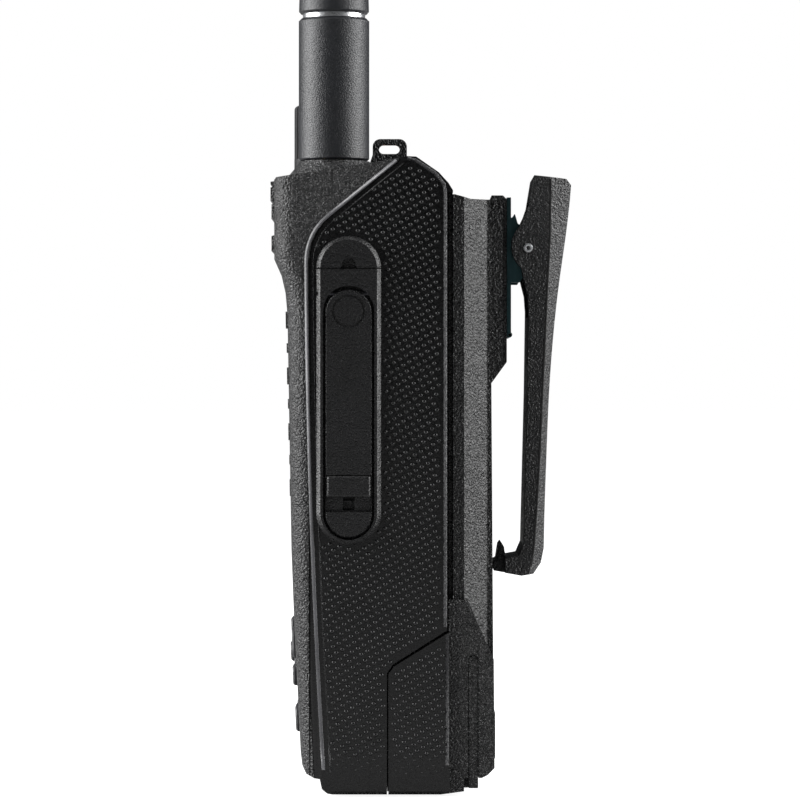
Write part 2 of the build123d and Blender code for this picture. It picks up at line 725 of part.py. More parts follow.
with BuildPart() as cover_pin:
    with BuildSketch(Plane.XZ.offset(-CONNECTOR_Y + 4.6)):
        with Locations((COVER_PIN_X, COVER_PIN_Z)):
            Circle(COVER_PIN_RADIUS)
    extrude(amount=-9.2)
cover_pin.part.label = "cover_pin"
export_step(cover_pin.part, "parts/cover_pin.step")

with BuildPart() as dust_cover:
    add(
        upright_slot(
            yz_at(COVER_X[0]),
            CONNECTOR_Y,
            COVER_LOW_Z,
            COVER_HIGH_Z,
            COVER_RADIUS,
            COVER_X[1] - COVER_X[0],
        )
    )
    chamfer(dust_cover.faces().sort_by(Axis.X)[-1].edges(), 0.4)
    # round inlaid medallion near the top
    with BuildSketch(yz_at(COVER_X[1])):
        with Locations((CONNECTOR_Y, 98.8)):
            Circle(3.4)
            Circle(2.9, mode=Mode.SUBTRACT)
    extrude(amount=-0.35, mode=Mode.SUBTRACT)
    with Locations((COVER_X[1] - 0.5, CONNECTOR_Y, (57.8 + LATCH_Z[1] + 0.1) / 2)):
        Box(1.0, 9.3, LATCH_Z[1] + 0.1 - 57.8, mode=Mode.SUBTRACT)
    # slot for the latch's stem
    with Locations((COVER_X[0], CONNECTOR_Y, 61.1)):
        Box(2.0, 2.4, 6.0, mode=Mode.SUBTRACT)
    with BuildSketch(Plane.XZ.offset(20)):
        with Locations((COVER_PIN_X, COVER_PIN_Z)):
            Circle(COVER_PIN_RADIUS + 0.05)
    extrude(amount=-40, mode=Mode.SUBTRACT)
dust_cover.part.label = "dust_cover"
export_step(dust_cover.part, "parts/dust_cover.step")

with BuildPart() as cover_latch:
    add(
        slab((COVER_X[1] - 0.9, COVER_X[1] + 0.3), (CONNECTOR_Y - 4.5, CONNECTOR_Y + 4.5), LATCH_Z)
    )
    chamfer(cover_latch.faces().sort_by(Axis.X)[-1].edges(), 0.4)
    # stem and foot that hold the latch to the cover
    add(slab((26.5, 27.8), (CONNECTOR_Y - 1.0, CONNECTOR_Y + 1.0), (61.3, 63.9)))
    add(slab((26.45, 26.8), (CONNECTOR_Y - 2.4, CONNECTOR_Y + 2.4), (61.3, 63.9)))
cover_latch.part.label = "cover_latch"
export_step(cover_latch.part, "parts/cover_latch.step")

# push-to-talk side: (name, low, high, width, proud of the bezel)
SIDE_BUTTONS = [
    ("ptt_button", 77.6, 104.0, 9.6, 1.5),
    ("side_button_top", 105.6, 111.6, 6.0, 0.6),
    ("side_button_upper", 66.0, 75.6, 8.6, 0.8),
    ("side_button_lower", 54.4, 64.0, 8.6, 0.8),
]
BUTTON_CORNER = 2.2
BUTTON_FLANGE = 0.7
with BuildPart() as ptt_bezel:
    add(side_bezel(-1))
    chamfer(ptt_bezel.faces().sort_by(Axis.X)[0].edges(), 0.7)
    for _, low, high, wide, _ in SIDE_BUTTONS:
        add(
            upright_slot(
                yz_at(-HALF_WIDTH - 4),
                CONNECTOR_Y,
                low - FIT,
                high + FIT,
                wide / 2 + FIT,
                8.0,
                corner=BUTTON_CORNER + FIT,
            ),
            mode=Mode.SUBTRACT,
        )
ptt_bezel.part.label = "ptt_bezel"
export_step(ptt_bezel.part, "parts/ptt_bezel.step")

for button_name, low, high, wide, proud in SIDE_BUTTONS:
    outer_x = -HALF_WIDTH - BEZEL_RISE - proud
    button_depth = -INNER_X + 0.05 - outer_x
    button_plane = yz_at(outer_x)
    with BuildPart() as button:
        add(
            upright_slot(
                button_plane, CONNECTOR_Y, low, high, wide / 2, button_depth, BUTTON_CORNER
            )
        )
        chamfer(button.faces().sort_by(Axis.X)[0].edges(), 0.45)
        with Locations((-INNER_X + 0.05 + BUTTON_FLANGE / 2, CONNECTOR_Y, (low + high) / 2)):
            Box(BUTTON_FLANGE, wide + 1.0, high - low + 0.9)
        if button_name == "ptt_button":
            # three grip bars across the talk key
            for bar_z in (85.0, 90.8, 96.6):
                with Locations((outer_x - 0.1, CONNECTOR_Y, bar_z)):
                    Box(0.5, 6.4, 1.2)
    button.part.label = button_name
    export_step(button.part, f"parts/{button_name}.step")

with BuildPart() as side_switch_board:
    add(slab((-23.6, -22.4), (CONNECTOR_Y - 5.6, CONNECTOR_Y + 5.6), (54.0, 112.0)))
side_switch_board.part.label = "side_switch_board"
export_step(side_switch_board.part, "parts/side_switch_board.step")

# ------------------------------------------------------------------ controls on the deck
KNOB_GAP = 0.3
SHAFT_RADIUS = 3.0
SHAFT_BASE_Z = 118.6
SWITCH_BASE_Z, SWITCH_SIZE = 118.0, (11.0, 10.0)
SWITCH_SET_BACK = 0.9  # clear of the speaker
FLUTE_RADIUS, FLUTE_INSET, FLUTE_BASE = 0.95, 0.5, 2.4
CAP_THICK = 2.2
# (name, place, radius, top, flutes)
KNOBS = [
    ("channel", CHANNEL_AT, 7.45, 142.7, 12),
    ("volume", VOLUME_AT, 6.1, 139.0, 16),
]
for knob_name, at, radius, top, flutes in KNOBS:
    with BuildPart() as knob:
        with BuildSketch(Plane.XY.offset(KNOB_SEAT_Z + KNOB_GAP)):
            with Locations(at):
                Circle(radius)
        extrude(amount=top - KNOB_SEAT_Z - KNOB_GAP)
        fillet(knob.faces().sort_by(Axis.Z)[-1].edges(), 1.0)
        # finger flutes
        with BuildSketch(Plane.XY.offset(KNOB_SEAT_Z + FLUTE_BASE)):
            with Locations(at):
                with PolarLocations(radius + FLUTE_RADIUS - FLUTE_INSET, flutes):
                    Circle(FLUTE_RADIUS)
        extrude(amount=top - KNOB_SEAT_Z, mode=Mode.SUBTRACT)
        # pointer groove on the top
        with Locations((at[0], at[1] - radius / 2, top)):
            Box(0.9, radius * 0.7, 0.8, mode=Mode.SUBTRACT)
        with BuildSketch(Plane.XY.offset(KNOB_SEAT_Z)):
            with Locations(at):
                Circle(SHAFT_RADIUS)
        extrude(amount=top - KNOB_SEAT_Z - CAP_THICK, mode=Mode.SUBTRACT)
    knob.part.label = knob_name + "_knob"
    export_step(knob.part, f"parts/{knob_name}_knob.step")

    with BuildPart() as shaft:
        with BuildSketch(Plane.XY.offset(SHAFT_BASE_Z)):
            with Locations(at):
                Circle(SHAFT_RADIUS)
        extrude(amount=top - CAP_THICK - SHAFT_BASE_Z)
    shaft.part.label = knob_name + "_shaft"
    export_step(shaft.part, f"parts/{knob_name}_shaft.step")

    with BuildPart() as switch:
        with BuildSketch(Plane.XY.offset(SWITCH_BASE_Z)):
            with Locations((at[0], at[1] + SWITCH_SET_BACK)):
                Rectangle(*SWITCH_SIZE)
        extrude(amount=DECK_UNDERSIDE - SWITCH_BASE_Z)
        with BuildSketch(Plane.XY.offset(DECK_UNDERSIDE)):
            with Locations(at):
                Circle(SWITCH_NECK_RADIUS)
        extrude(amount=4.0)
        with BuildSketch(Plane.XY.offset(SHAFT_BASE_Z - 0.05)):
            with Locations(at):
                Circle(SHAFT_RADIUS + 0.05)
        extrude(amount=12, mode=Mode.SUBTRACT)
    switch.part.label = knob_name + "_switch"
    export_step(switch.part, f"parts/{knob_name}_switch.step")

EMERGENCY_BASE, EMERGENCY_TOP = 126.6, 130.5
with BuildPart() as emergency_button:
    with BuildSketch(Plane.XY.offset(EMERGENCY_BASE)):
        with Locations(EMERGENCY_AT):
            RectangleRounded(*EMERGENCY_SIZE, 1.8)
    extrude(amount=EMERGENCY_TOP - EMERGENCY_BASE)
    fillet(emergency_button.faces().sort_by(Axis.Z)[-1].edges(), 0.6)
emergency_button.part.label = "emergency_button"
export_step(emergency_button.part, "parts/emergency_button.step")

LOOP_Y = (-2.0, 5.1)
LOOP_BASE_Z, LOOP_TOP_Z = 128.8, 134.75
LOOP_FLARE = (0.9, 2.7)  # (reach, height) of the front leg's foot
LOOP_HOLE_AT, LOOP_HOLE_SIZE = (1.45, 132.6), (4.3, 1.9)
with BuildPart() as strap_loop:
    with BuildSketch(yz_at(LOOP_X[0])):
        with BuildLine():
            arch = FilletPolyline(
                (LOOP_Y[0] - LOOP_FLARE[0], LOOP_BASE_Z),
                (LOOP_Y[0], LOOP_BASE_Z + LOOP_FLARE[1]),
                (LOOP_Y[0], LOOP_TOP_Z),
                (LOOP_Y[1], LOOP_TOP_Z),
                (LOOP_Y[1], LOOP_BASE_Z),
                radius=1.6,
            )
            Line(arch @ 1, arch @ 0)
        make_face()
    extrude(amount=LOOP_X[1] - LOOP_X[0])
    add(front_housing.part, mode=Mode.SUBTRACT)
    add(rear_chassis.part, mode=Mode.SUBTRACT)
    add(main_seal.part, mode=Mode.SUBTRACT)
    add(slab(LOOP_X, LOOP_FOOT_Y, (LOOP_FOOT_Z, 129.8)))
    with BuildSketch(yz_at(0)):
        with Locations(LOOP_HOLE_AT):
            SlotOverall(*LOOP_HOLE_SIZE)
    extrude(amount=30, mode=Mode.SUBTRACT)
strap_loop.part.label = "strap_loop"
export_step(strap_loop.part, "parts/strap_loop.step")

# ------------------------------------------------------------------ antenna
STUD_RADIUS = 3.1
SLEEVE_TOP, RING_TOP, WHIP_TOP = 159.6, 160.5, 232.0
WHIP_TIP_RADIUS = 5.6
STUD_BASE, STUD_TOP = 122.0, 134.0
SEAT_GAP = 0.2


def round_about(at, points):
    """A solid of revolution of (radius, height) points about a vertical axis."""
    with BuildPart() as turned:
        with BuildSketch(Plane((at[0], at[1], 0), x_dir=(1, 0, 0), z_dir=(0, -1, 0))):
            with BuildLine():
                Polyline(points, close=True)
            make_face()
        revolve(axis=Axis((at[0], at[1], 0), (0, 0, 1)))
    return turned.part


with BuildPart() as antenna_socket:
    add(
        round_about(
            ANTENNA_AT,
            [
                (STUD_RADIUS + 0.05, 119.4),
                (5.8, 119.4),
                (5.8, DECK_UNDERSIDE),
                (SOCKET_NECK_RADIUS, DECK_UNDERSIDE),
                (SOCKET_NECK_RADIUS, 129.6),
                (STUD_RADIUS + 0.05, 129.6),
            ],
        )
    )
antenna_socket.part.label = "antenna_socket"
export_step(antenna_socket.part, "parts/antenna_socket.step")

with BuildPart() as antenna_stud:
    add(
        round_about(
            ANTENNA_AT,
            [
                (0, STUD_BASE),
                (STUD_RADIUS - 0.5, STUD_BASE),
                (STUD_RADIUS, STUD_BASE + 0.6),
                (STUD_RADIUS, STUD_TOP),
                (0, STUD_TOP),
            ],
        )
    )
antenna_stud.part.label = "antenna_stud"
export_step(antenna_stud.part, "parts/antenna_stud.step")

with BuildPart() as antenna_sleeve:
    add(
        round_about(
            ANTENNA_AT,
            [
                (0, SEAT_Z + SEAT_GAP),
                (ANTENNA_RADIUS - 0.3, SEAT_Z + SEAT_GAP),
                (ANTENNA_RADIUS, SEAT_Z + SEAT_GAP + 0.3),
                (ANTENNA_RADIUS, SLEEVE_TOP - 0.6),
                (ANTENNA_RADIUS - 0.6, SLEEVE_TOP),
                (0, SLEEVE_TOP),
            ],
        )
    )
    with BuildSketch(Plane.XY.offset(SEAT_Z)):
        with Locations(ANTENNA_AT):
            Circle(STUD_RADIUS + 0.05)
    extrude(amount=STUD_TOP + 0.05 - SEAT_Z, mode=Mode.SUBTRACT)
antenna_sleeve.part.label = "antenna_sleeve"
export_step(antenna_sleeve.part, "parts/antenna_sleeve.step")

with BuildPart() as antenna_id_ring:
    add(
        round_about(
            ANTENNA_AT,
            [(0, SLEEVE_TOP), (6.45, SLEEVE_TOP), (6.45, RING_TOP), (0, RING_TOP)],
        )
    )
antenna_id_ring.part.label = "antenna_id_ring"
export_step(antenna_id_ring.part, "parts/antenna_id_ring.step")

with BuildPart() as antenna_whip:
    with BuildSketch(Plane((ANTENNA_AT[0], ANTENNA_AT[1], 0), x_dir=(1, 0, 0), z_dir=(0, -1, 0))):
        with BuildLine():
            Polyline(
                (0, RING_TOP),
                (ANTENNA_RADIUS - 0.5, RING_TOP),
                (ANTENNA_RADIUS - 0.05, RING_TOP + 0.5),
                (WHIP_TIP_RADIUS, WHIP_TOP),
                (0, WHIP_TOP),
                close=True,
            )
        make_face()
    revolve(axis=Axis((ANTENNA_AT[0], ANTENNA_AT[1], 0), (0, 0, 1)))
    fillet(antenna_whip.faces().sort_by(Axis.Z)[-1].edges(), 4.0)
antenna_whip.part.label = "antenna_whip"
export_step(antenna_whip.part, "parts/antenna_whip.step")

# ------------------------------------------------------------------ battery
BATTERY_Y = BACK_Y + SLIDE_GAP
PLATE_THICK = 1.3
BATTERY_TOP_Z = 121.8
BATTERY_BACK = ((0.0, 23.1), (122.0, 22.2))  # (height, rear face) at both ends
BOX_HALF_WIDTH = 26.9
TONGUE_GAP = 0.05
ARM_Y = (17.75, 19.55)
ARM_TOP_Z = 28.3
ARM_DEPTH = 1.4
ARM_BASE_Z = 1.3
RAIL_INNER_X, RAIL_OUTER_X = 11.3, 14.5
CARRIAGE_Y = (22.7, 25.9)
FLANGE_BACK_Y = 23.7
CARRIAGE_HALF_WIDTH = 10.9
FLANGE_HALF_WIDTH = 12.0
CLIP_RAIL_Z = (85.0, 121.0)


def battery_back_y(z):
    """Y of the battery's rear face at height z."""
    (low_z, low_y), (high_z, high_y) = BATTERY_BACK
    return low_y + (high_y - low_y) * (z - low_z) / (high_z - low_z)


with BuildPart() as battery_outer:
    # upper slab with a dark neck beside the chassis and a wide chamfer behind
    with BuildSketch(Plane.XY):
        with BuildLine():
            Polyline(
                (-24.6, BATTERY_Y),
                (24.6, BATTERY_Y),
                (24.6, 14.3),
                (25.8, 14.5),
                (25.8, 16.8),
                (21.3, 21.6),
                (21.0, 30),
                (-21.0, 30),
                (-21.3, 21.6),
                (-25.8, 16.8),
                (-25.8, 14.5),
                (-24.6, 14.3),
                close=True,
            )
        make_face()
    extrude(amount=122.7)
    # wider lower box, its top sloping down to the rear
    add(
        side_prism(
            [(BATTERY_Y, -1), (30, -1), (30, 12), (21.2, 31.2), (17.5, 39.8), (BATTERY_Y, 39.8)],
            BOX_HALF_WIDTH,
        )
    )
    add(
        side_prism(
            [
                (BATTERY_Y, 0.25),
                (17.0, 0.7),
                (18.0, 1.2),
                (19.6, 3.0),
                (21.6, 4.0),
                (23.0, 5.4),
                (battery_back_y(BATTERY_TOP_Z), BATTERY_TOP_Z),
                (18.2, BATTERY_TOP_Z),
                (14.9, 122.7),
                (BATTERY_Y, 122.7),
            ],
            40,
        ),
        mode=Mode.INTERSECT,
    )
    # foot that reaches under the chassis
    add(
        side_prism(
            [
                (FOOT_Y + SLIDE_GAP, 0.0),
                (12.0, 0.0),
                (17.0, 0.7),
                (17.0, 30.0),
                (13.8, 33.25),
                (BACK_Y + SLIDE_GAP, 33.1),
                (2.45, 26.2),
                (FOOT_Y + SLIDE_GAP, 24.6),
            ],
            BOX_HALF_WIDTH,
        )
    )
    # grip-faced cheeks of the foot, flush with the chassis
    for side in (-1, 1):
        with BuildSketch(yz_at(side * BOX_HALF_WIDTH)):
            with BuildLine():
                Polyline(
                    (FOOT_Y + SLIDE_GAP, 0.0),
                    (12.0, 0.0),
                    (13.8, 0.25),
                    (13.8, 33.25),
                    (2.45, 26.2),
                    (FOOT_Y + SLIDE_GAP, 24.6),
                    close=True,
                )
            make_face()
        extrude(amount=side * (HALF_WIDTH - BOX_HALF_WIDTH))
    # inner tongue that closes the gap to the chassis
    add(
        side_prism(
            [
                (FOOT_Y + TONGUE_GAP, 0.4),
                (FOOT_Y + TONGUE_GAP, 24.7),
                (2.25, 26.5),
                (BACK_Y + 0.05, 33.45),
                (BACK_Y + 0.05, 36.0),
                (17.0, 36.0),
                (17.0, 2.0),
                (12.0, 0.4),
            ],
            24.0,
        )
    )
    add(end_prism(HALF_WIDTH), mode=Mode.INTERSECT)

battery_hollow = [
    (3.2, 2.0),
    (16.0, 2.0),
    (16.4, 4.6),
    (19.9, 6.0),
    (20.9, 8.0),
    (20.6, 119.6),
    (BATTERY_Y - 1, 119.6),
    (BATTERY_Y - 1, 30.2),
    (4.4, 25.0),
    (3.2, 23.4),
]


def rail_groove(side):
    """The groove in the battery's front that one chassis rail slides in, open at the top."""
    middle = side * RAIL_X
    reach = RAIL_WIDTH / 2 + SLIDE_GAP
    return slab(
        (middle - reach, middle + reach),
        (BACK_Y - 1, BACK_Y + RAIL_HEIGHT + FIT),
        (RAIL_Z[0] - 1.0, 130),
    )


# plan of the hollow, which follows the chamfers at the rear corners
with BuildPart() as battery_inside:
    with BuildSketch(Plane.XY):
        with BuildLine():
            Polyline(
                (-22.9, 0),
                (22.9, 0),
                (22.9, 17.6),
                (19.6, 21.2),
                (-19.6, 21.2),
                (-22.9, 17.6),
                close=True,
            )
        make_face()
    extrude(amount=125)
    add(side_prism(battery_hollow, 22.9), mode=Mode.INTERSECT)

with BuildPart() as battery_case:
    add(battery_outer.part)
    add(battery_inside.part, mode=Mode.SUBTRACT)
    # seat for the cover plate
    add(
        slab((-23.6, 23.6), (BATTERY_Y - 1, BATTERY_Y + PLATE_THICK), (35.0, 120.8)),
        mode=Mode.SUBTRACT,
    )
    # grooves for the chassis rails run on through the top
    for side in (-1, 1):
        add(rail_groove(side), mode=Mode.SUBTRACT)
    # slots for the latch: one up each side and one across the bottom
    for side in (-1, 1):
        add(
            upright_slot(
                yz_at(side * (BOX_HALF_WIDTH - ARM_DEPTH - FIT)),
                sum(ARM_Y) / 2,
                -6.0,
                ARM_TOP_Z + 0.2,
                (ARM_Y[1] - ARM_Y[0]) / 2 + FIT,
                side * 4.0,
            ),
            mode=Mode.SUBTRACT,
        )
    add(slab((-30, 30), (ARM_Y[0] - 1.0, 24), (-1, 3.4)), mode=Mode.SUBTRACT)
    # rails that carry the belt clip
    for side in (-1, 1):
        with BuildSketch(yz_at(side * RAIL_INNER_X)):
            with BuildLine():
                Polyline(
                    (21.4, CLIP_RAIL_Z[0] - 0.8),
                    (22.7, CLIP_RAIL_Z[0] - 0.8),
                    (FLANGE_BACK_Y + 1.2, CLIP_RAIL_Z[0] + 2.3),
                    (FLANGE_BACK_Y + 1.2, CLIP_RAIL_Z[1]),
                    (21.4, CLIP_RAIL_Z[1]),
                    close=True,
                )
            make_face()
        extrude(amount=side * (RAIL_OUTER_X - RAIL_INNER_X))
    add(
        slab(
            (-FLANGE_HALF_WIDTH - 0.3, FLANGE_HALF_WIDTH + 0.3),
            (battery_back_y(103), FLANGE_BACK_Y + 0.3),
            (CLIP_RAIL_Z[0] - 1, CLIP_RAIL_Z[1] + 1),
        ),
        mode=Mode.SUBTRACT,
    )
    # raised panel behind the charging contacts
    with BuildSketch(Plane.XZ.offset(-22.0)):
        with Locations((0, 11.0)):
            RectangleRounded(30, 9.6, 2)
    extrude(amount=-1.4)
    with BuildSketch(Plane.XZ.offset(-30)):
        with Locations((0, 11.0)):
            with GridLocations(7.0, 1, 4, 1):
                Circle(1.9)
    extrude(amount=9.5, mode=Mode.SUBTRACT)
battery_case.part.label = "battery_case"
export_step(battery_case.part, "parts/battery_case.step")

with BuildPart() as battery_cover_plate:
    add(slab((-23.6, 23.6), (BATTERY_Y, BATTERY_Y + PLATE_THICK), (35.0, 120.8)))
    for side in (-1, 1):
        add(rail_groove(side), mode=Mode.SUBTRACT)
    # shallow seats for the terminals
    with Locations(*[(x, BATTERY_Y, TERMINAL_Z) for x in TERMINAL_X]):
        Box(2.2, 0.8, 6.0, mode=Mode.SUBTRACT)
battery_cover_plate.part.label = "battery_cover_plate"
export_step(battery_cover_plate.part, "parts/battery_cover_plate.step")

with BuildPart() as battery_contacts:
    with Locations(*[(x, BATTERY_Y + 0.3, TERMINAL_Z) for x in TERMINAL_X]):
        Box(2.2, 0.2, 6.0)
    with BuildSketch(Plane.XZ.offset(-23.0)):
        with Locations((0, 11.0)):
            with GridLocations(7.0, 1, 4, 1):
                Circle(1.9)
    extrude(amount=2.5)
battery_contacts.part.label = "battery_contacts"
export_step(battery_contacts.part, "parts/battery_contacts.step")

with BuildPart() as battery_cells:
    with Locations((-9.8, 17.9, 78), (9.8, 17.9, 78)):
        Box(19.2, 5.2, 76)
    fillet(battery_cells.edges().filter_by(Axis.Z), 1.2)
battery_cells.part.label = "battery_cells"
export_step(battery_cells.part, "parts/battery_cells.step")

with BuildPart() as battery_board:
    add(slab((-21.0, 21.0), (9.0, 10.2), (4.0, 24.0)))
    add(slab((-12.0, 12.0), (7.2, 9.0), (8.0, 18.0)))
battery_board.part.label = "battery_board"
export_step(battery_board.part, "parts/battery_board.step")

with BuildPart() as battery_latch:
    for side in (-1, 1):
        add(
            upright_slot(
                yz_at(side * (BOX_HALF_WIDTH - ARM_DEPTH)),
                sum(ARM_Y) / 2,
                ARM_BASE_Z - (ARM_Y[1] - ARM_Y[0]) / 2,
                ARM_TOP_Z,
                (ARM_Y[1] - ARM_Y[0]) / 2,
                side * (ARM_DEPTH - 0.1),
            )
        )
    add(
        slab(
            (-BOX_HALF_WIDTH + ARM_DEPTH, BOX_HALF_WIDTH - ARM_DEPTH),
            (ARM_Y[0] - 0.95, ARM_Y[1] + 0.1),
            (ARM_BASE_Z, 3.2),
        )
    )
    add(slab((-40, 40), (0, 40), (-10, ARM_BASE_Z)), mode=Mode.SUBTRACT)
battery_latch.part.label = "battery_latch"
export_step(battery_latch.part, "parts/battery_latch.step")

# ------------------------------------------------------------------ belt clip
with BuildPart() as clip_carriage:
    add(
        slab(
            (-FLANGE_HALF_WIDTH, FLANGE_HALF_WIDTH),
            (CARRIAGE_Y[0], FLANGE_BACK_Y),
            (88.0, 122.4),
        )
    )
    add(
        side_prism(
            [
                (CARRIAGE_Y[0], 84.1),
                (CARRIAGE_Y[1], 88.5),
                (CARRIAGE_Y[1], 122.4),
                (CARRIAGE_Y[1] - 0.8, 123.2),
                (CARRIAGE_Y[0], 123.2),
            ],
            CARRIAGE_HALF_WIDTH,
        )
    )
clip_carriage.part.label = "clip_carriage"
export_step(clip_carriage.part, "parts/clip_carriage.step")

PLATE_HALF_WIDTH = 10.0
EAR_INNER_X = 9.0
with BuildPart() as clip_bracket:
    add(slab((-PLATE_HALF_WIDTH, PLATE_HALF_WIDTH), (CARRIAGE_Y[1], 26.8), (94.4, 122.8)))
    # rolled lower edge
    with BuildSketch(yz_at(-PLATE_HALF_WIDTH)):
        with Locations((CARRIAGE_Y[1] + 0.58, 94.2)):
            Circle(0.57)
            Circle(0.3, mode=Mode.SUBTRACT)
    extrude(amount=2 * PLATE_HALF_WIDTH)
    # two ears around the pin
    for side in (-1, 1):
        with BuildSketch(yz_at(side * EAR_INNER_X)):
            with BuildLine():
                Polyline(
                    (26.2, 105.1),
                    (28.6, 105.1),
                    (PIN_Y + 2.0, 110.8),
                    (PIN_Y + 2.0, 113.8),
                    (28.2, 117.4),
                    (27.6, 119.4),
                    (27.0, 118.6),
                    (26.2, 118.6),
                    close=True,
                )
            make_face()
        extrude(amount=side * (PLATE_HALF_WIDTH - EAR_INNER_X))
    with BuildSketch(yz_at(-20)):
        with Locations((PIN_Y, PIN_Z)):
            Circle(PIN_RADIUS)
    extrude(amount=40, mode=Mode.SUBTRACT)
clip_bracket.part.label = "clip_bracket"
export_step(clip_bracket.part, "parts/clip_bracket.step")

with BuildPart() as clip_pin:
    with BuildSketch(yz_at(-CLIP_HALF_WIDTH - 0.2)):
        with Locations((PIN_Y, PIN_Z)):
            Circle(PIN_RADIUS)
    extrude(amount=2 * CLIP_HALF_WIDTH + 0.4)
clip_pin.part.label = "clip_pin"
export_step(clip_pin.part, "parts/clip_pin.step")

LOBE_RADIUS = 4.4
LEVER_TOP_Z = 127.3
BEVEL_WIDTH = 2.3
HOOK_HALF_WIDTH = 10.6
# (height, rear face, depth of the corner bevel) from the thumb end to the toe
LEVER_BACK = [
    (125.3, 39.3, 4.5),
    (115.0, 38.2, 3.4),
    (103.5, 36.6, 2.4),
    (92.0, 35.4, 1.7),
    (82.0, 34.7, 1.5),
    (70.2, 34.2, 1.5),
    (57.0, 33.75, 1.8),
    (49.8, 33.6, 2.2),
]


def bevel_section(side, z, rear_y, depth):
    """The corner that the bevel cuts away at height z."""
    over = 1.0
    with BuildSketch(Plane.XY.offset(z)) as corner:
        with BuildLine():
            Polyline(
                (side * (CLIP_HALF_WIDTH + over), rear_y - depth - over * depth / BEVEL_WIDTH),
                (side * (CLIP_HALF_WIDTH + over), rear_y + over),
                (side * (CLIP_HALF_WIDTH - BEVEL_WIDTH * (1 + over / depth)), rear_y + over),
                close=True,
            )
        make_face()
    return corner.sketch


def lever_bevel(side):
    """The material cut off one rear corner of the lever, over its whole height."""
    first, last = LEVER_BACK[0], LEVER_BACK[-1]
    with BuildPart() as wedge:
        add(bevel_section(side, LEVER_TOP_Z + 1, first[1], first[2]))
        for z, rear_y, depth in LEVER_BACK:
            add(bevel_section(side, z, rear_y, depth))
        add(bevel_section(side, 40.0, last[1] - 1.6, last[2]))
        loft(ruled=True)
    return wedge.part


with BuildPart() as clip_lever:
    with BuildSketch(yz_at(-CLIP_HALF_WIDTH)):
        with BuildLine():
            back = Spline(*[(rear_y, z) for z, rear_y, _ in LEVER_BACK])
            toe = Polyline(back @ 1, (33.0, 46.8), (31.4, 44.5), (28.9, 44.1), (23.2, 45.1))
            hook = Polyline(
                toe @ 1,
                (23.2, 46.9),
                (23.9, 47.3),
                (24.35, 50.2),
                (24.85, 50.9),
                (25.35, 50.0),
                (25.6, 47.8),
                (28.3, 48.3),
                (29.3, 50.6),
            )
            shank = Polyline(hook @ 1, (29.65, 64.0), (30.1, 82.0), (30.35, 99.3), (30.1, 102.6))
            lobe_in = Line(shank @ 1, (PIN_Y - 1.6, PIN_Z - 4.1))
            lobe = ThreePointArc(
                lobe_in @ 1, (PIN_Y - LOBE_RADIUS + 0.9, PIN_Z), (PIN_Y - 1.8, PIN_Z + 4.5)
            )
            Polyline(
                lobe @ 1,
                (29.8, 119.3),
                (30.5, 121.3),
                (31.5, LEVER_TOP_Z),
                (38.3, LEVER_TOP_Z - 0.7),
                back @ 0,
            )
        make_face()
    extrude(amount=2 * CLIP_HALF_WIDTH)
    # room for the ears and the spring, open towards the bracket
    add(
        side_prism(
            [
                (20, 98.0),
                (32.2, 98.0),
                (33.4, 105.0),
                (34.6, 113.0),
                (35.6, 121.0),
                (34.0, 123.0),
                (20, 123.0),
            ],
            CLIP_HALF_WIDTH - CLIP_CHEEK,
        ),
        mode=Mode.SUBTRACT,
    )
    for side in (-1, 1):
        add(lever_bevel(side), mode=Mode.SUBTRACT)
        # the hook is narrow enough to pass between the battery's clip rails
        hook_x = sorted((side * HOOK_HALF_WIDTH, side * (CLIP_HALF_WIDTH + 1)))
        add(slab(hook_x, (20, 25.45), (40, 52)), mode=Mode.SUBTRACT)
    with BuildSketch(yz_at(-20)):
        with Locations((PIN_Y, PIN_Z)):
            Circle(PIN_RADIUS + 0.05)
    extrude(amount=40, mode=Mode.SUBTRACT)
clip_lever.part.label = "clip_lever"
export_step(clip_lever.part, "parts/clip_lever.step")

COIL_RADIUS, WIRE_RADIUS, COIL_LENGTH, COIL_PITCH = 2.1, 0.5, 9.6, 1.6
with BuildPart() as clip_torsion_spring:
    with BuildLine():
        coil = Helix(
            pitch=COIL_PITCH,
            height=COIL_LENGTH,
            radius=COIL_RADIUS,
            center=(-COIL_LENGTH / 2, PIN_Y, PIN_Z),
            direction=(1, 0, 0),
        )
    with BuildSketch(Plane(origin=coil @ 0, z_dir=coil % 0)):
        Circle(WIRE_RADIUS)
    sweep()
clip_torsion_spring.part.label = "clip_torsion_spring"
export_step(clip_torsion_spring.part, "parts/clip_torsion_spring.step")
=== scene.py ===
import math

import bpy
from mathutils import Matrix, Vector


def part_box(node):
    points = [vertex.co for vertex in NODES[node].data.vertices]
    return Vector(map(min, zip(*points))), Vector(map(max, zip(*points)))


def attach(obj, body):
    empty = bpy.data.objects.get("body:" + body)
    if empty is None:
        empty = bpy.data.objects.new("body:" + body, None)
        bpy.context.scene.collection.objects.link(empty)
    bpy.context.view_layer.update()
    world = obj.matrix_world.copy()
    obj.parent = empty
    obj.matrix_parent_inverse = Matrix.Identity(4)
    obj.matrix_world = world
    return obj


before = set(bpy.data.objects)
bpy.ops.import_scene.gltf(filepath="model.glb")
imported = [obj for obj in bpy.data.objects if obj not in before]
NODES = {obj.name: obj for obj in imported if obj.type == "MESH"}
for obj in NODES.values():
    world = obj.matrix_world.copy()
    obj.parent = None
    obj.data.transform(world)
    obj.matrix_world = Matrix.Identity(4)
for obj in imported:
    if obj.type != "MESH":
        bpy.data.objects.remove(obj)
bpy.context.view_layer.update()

MM = 0.001


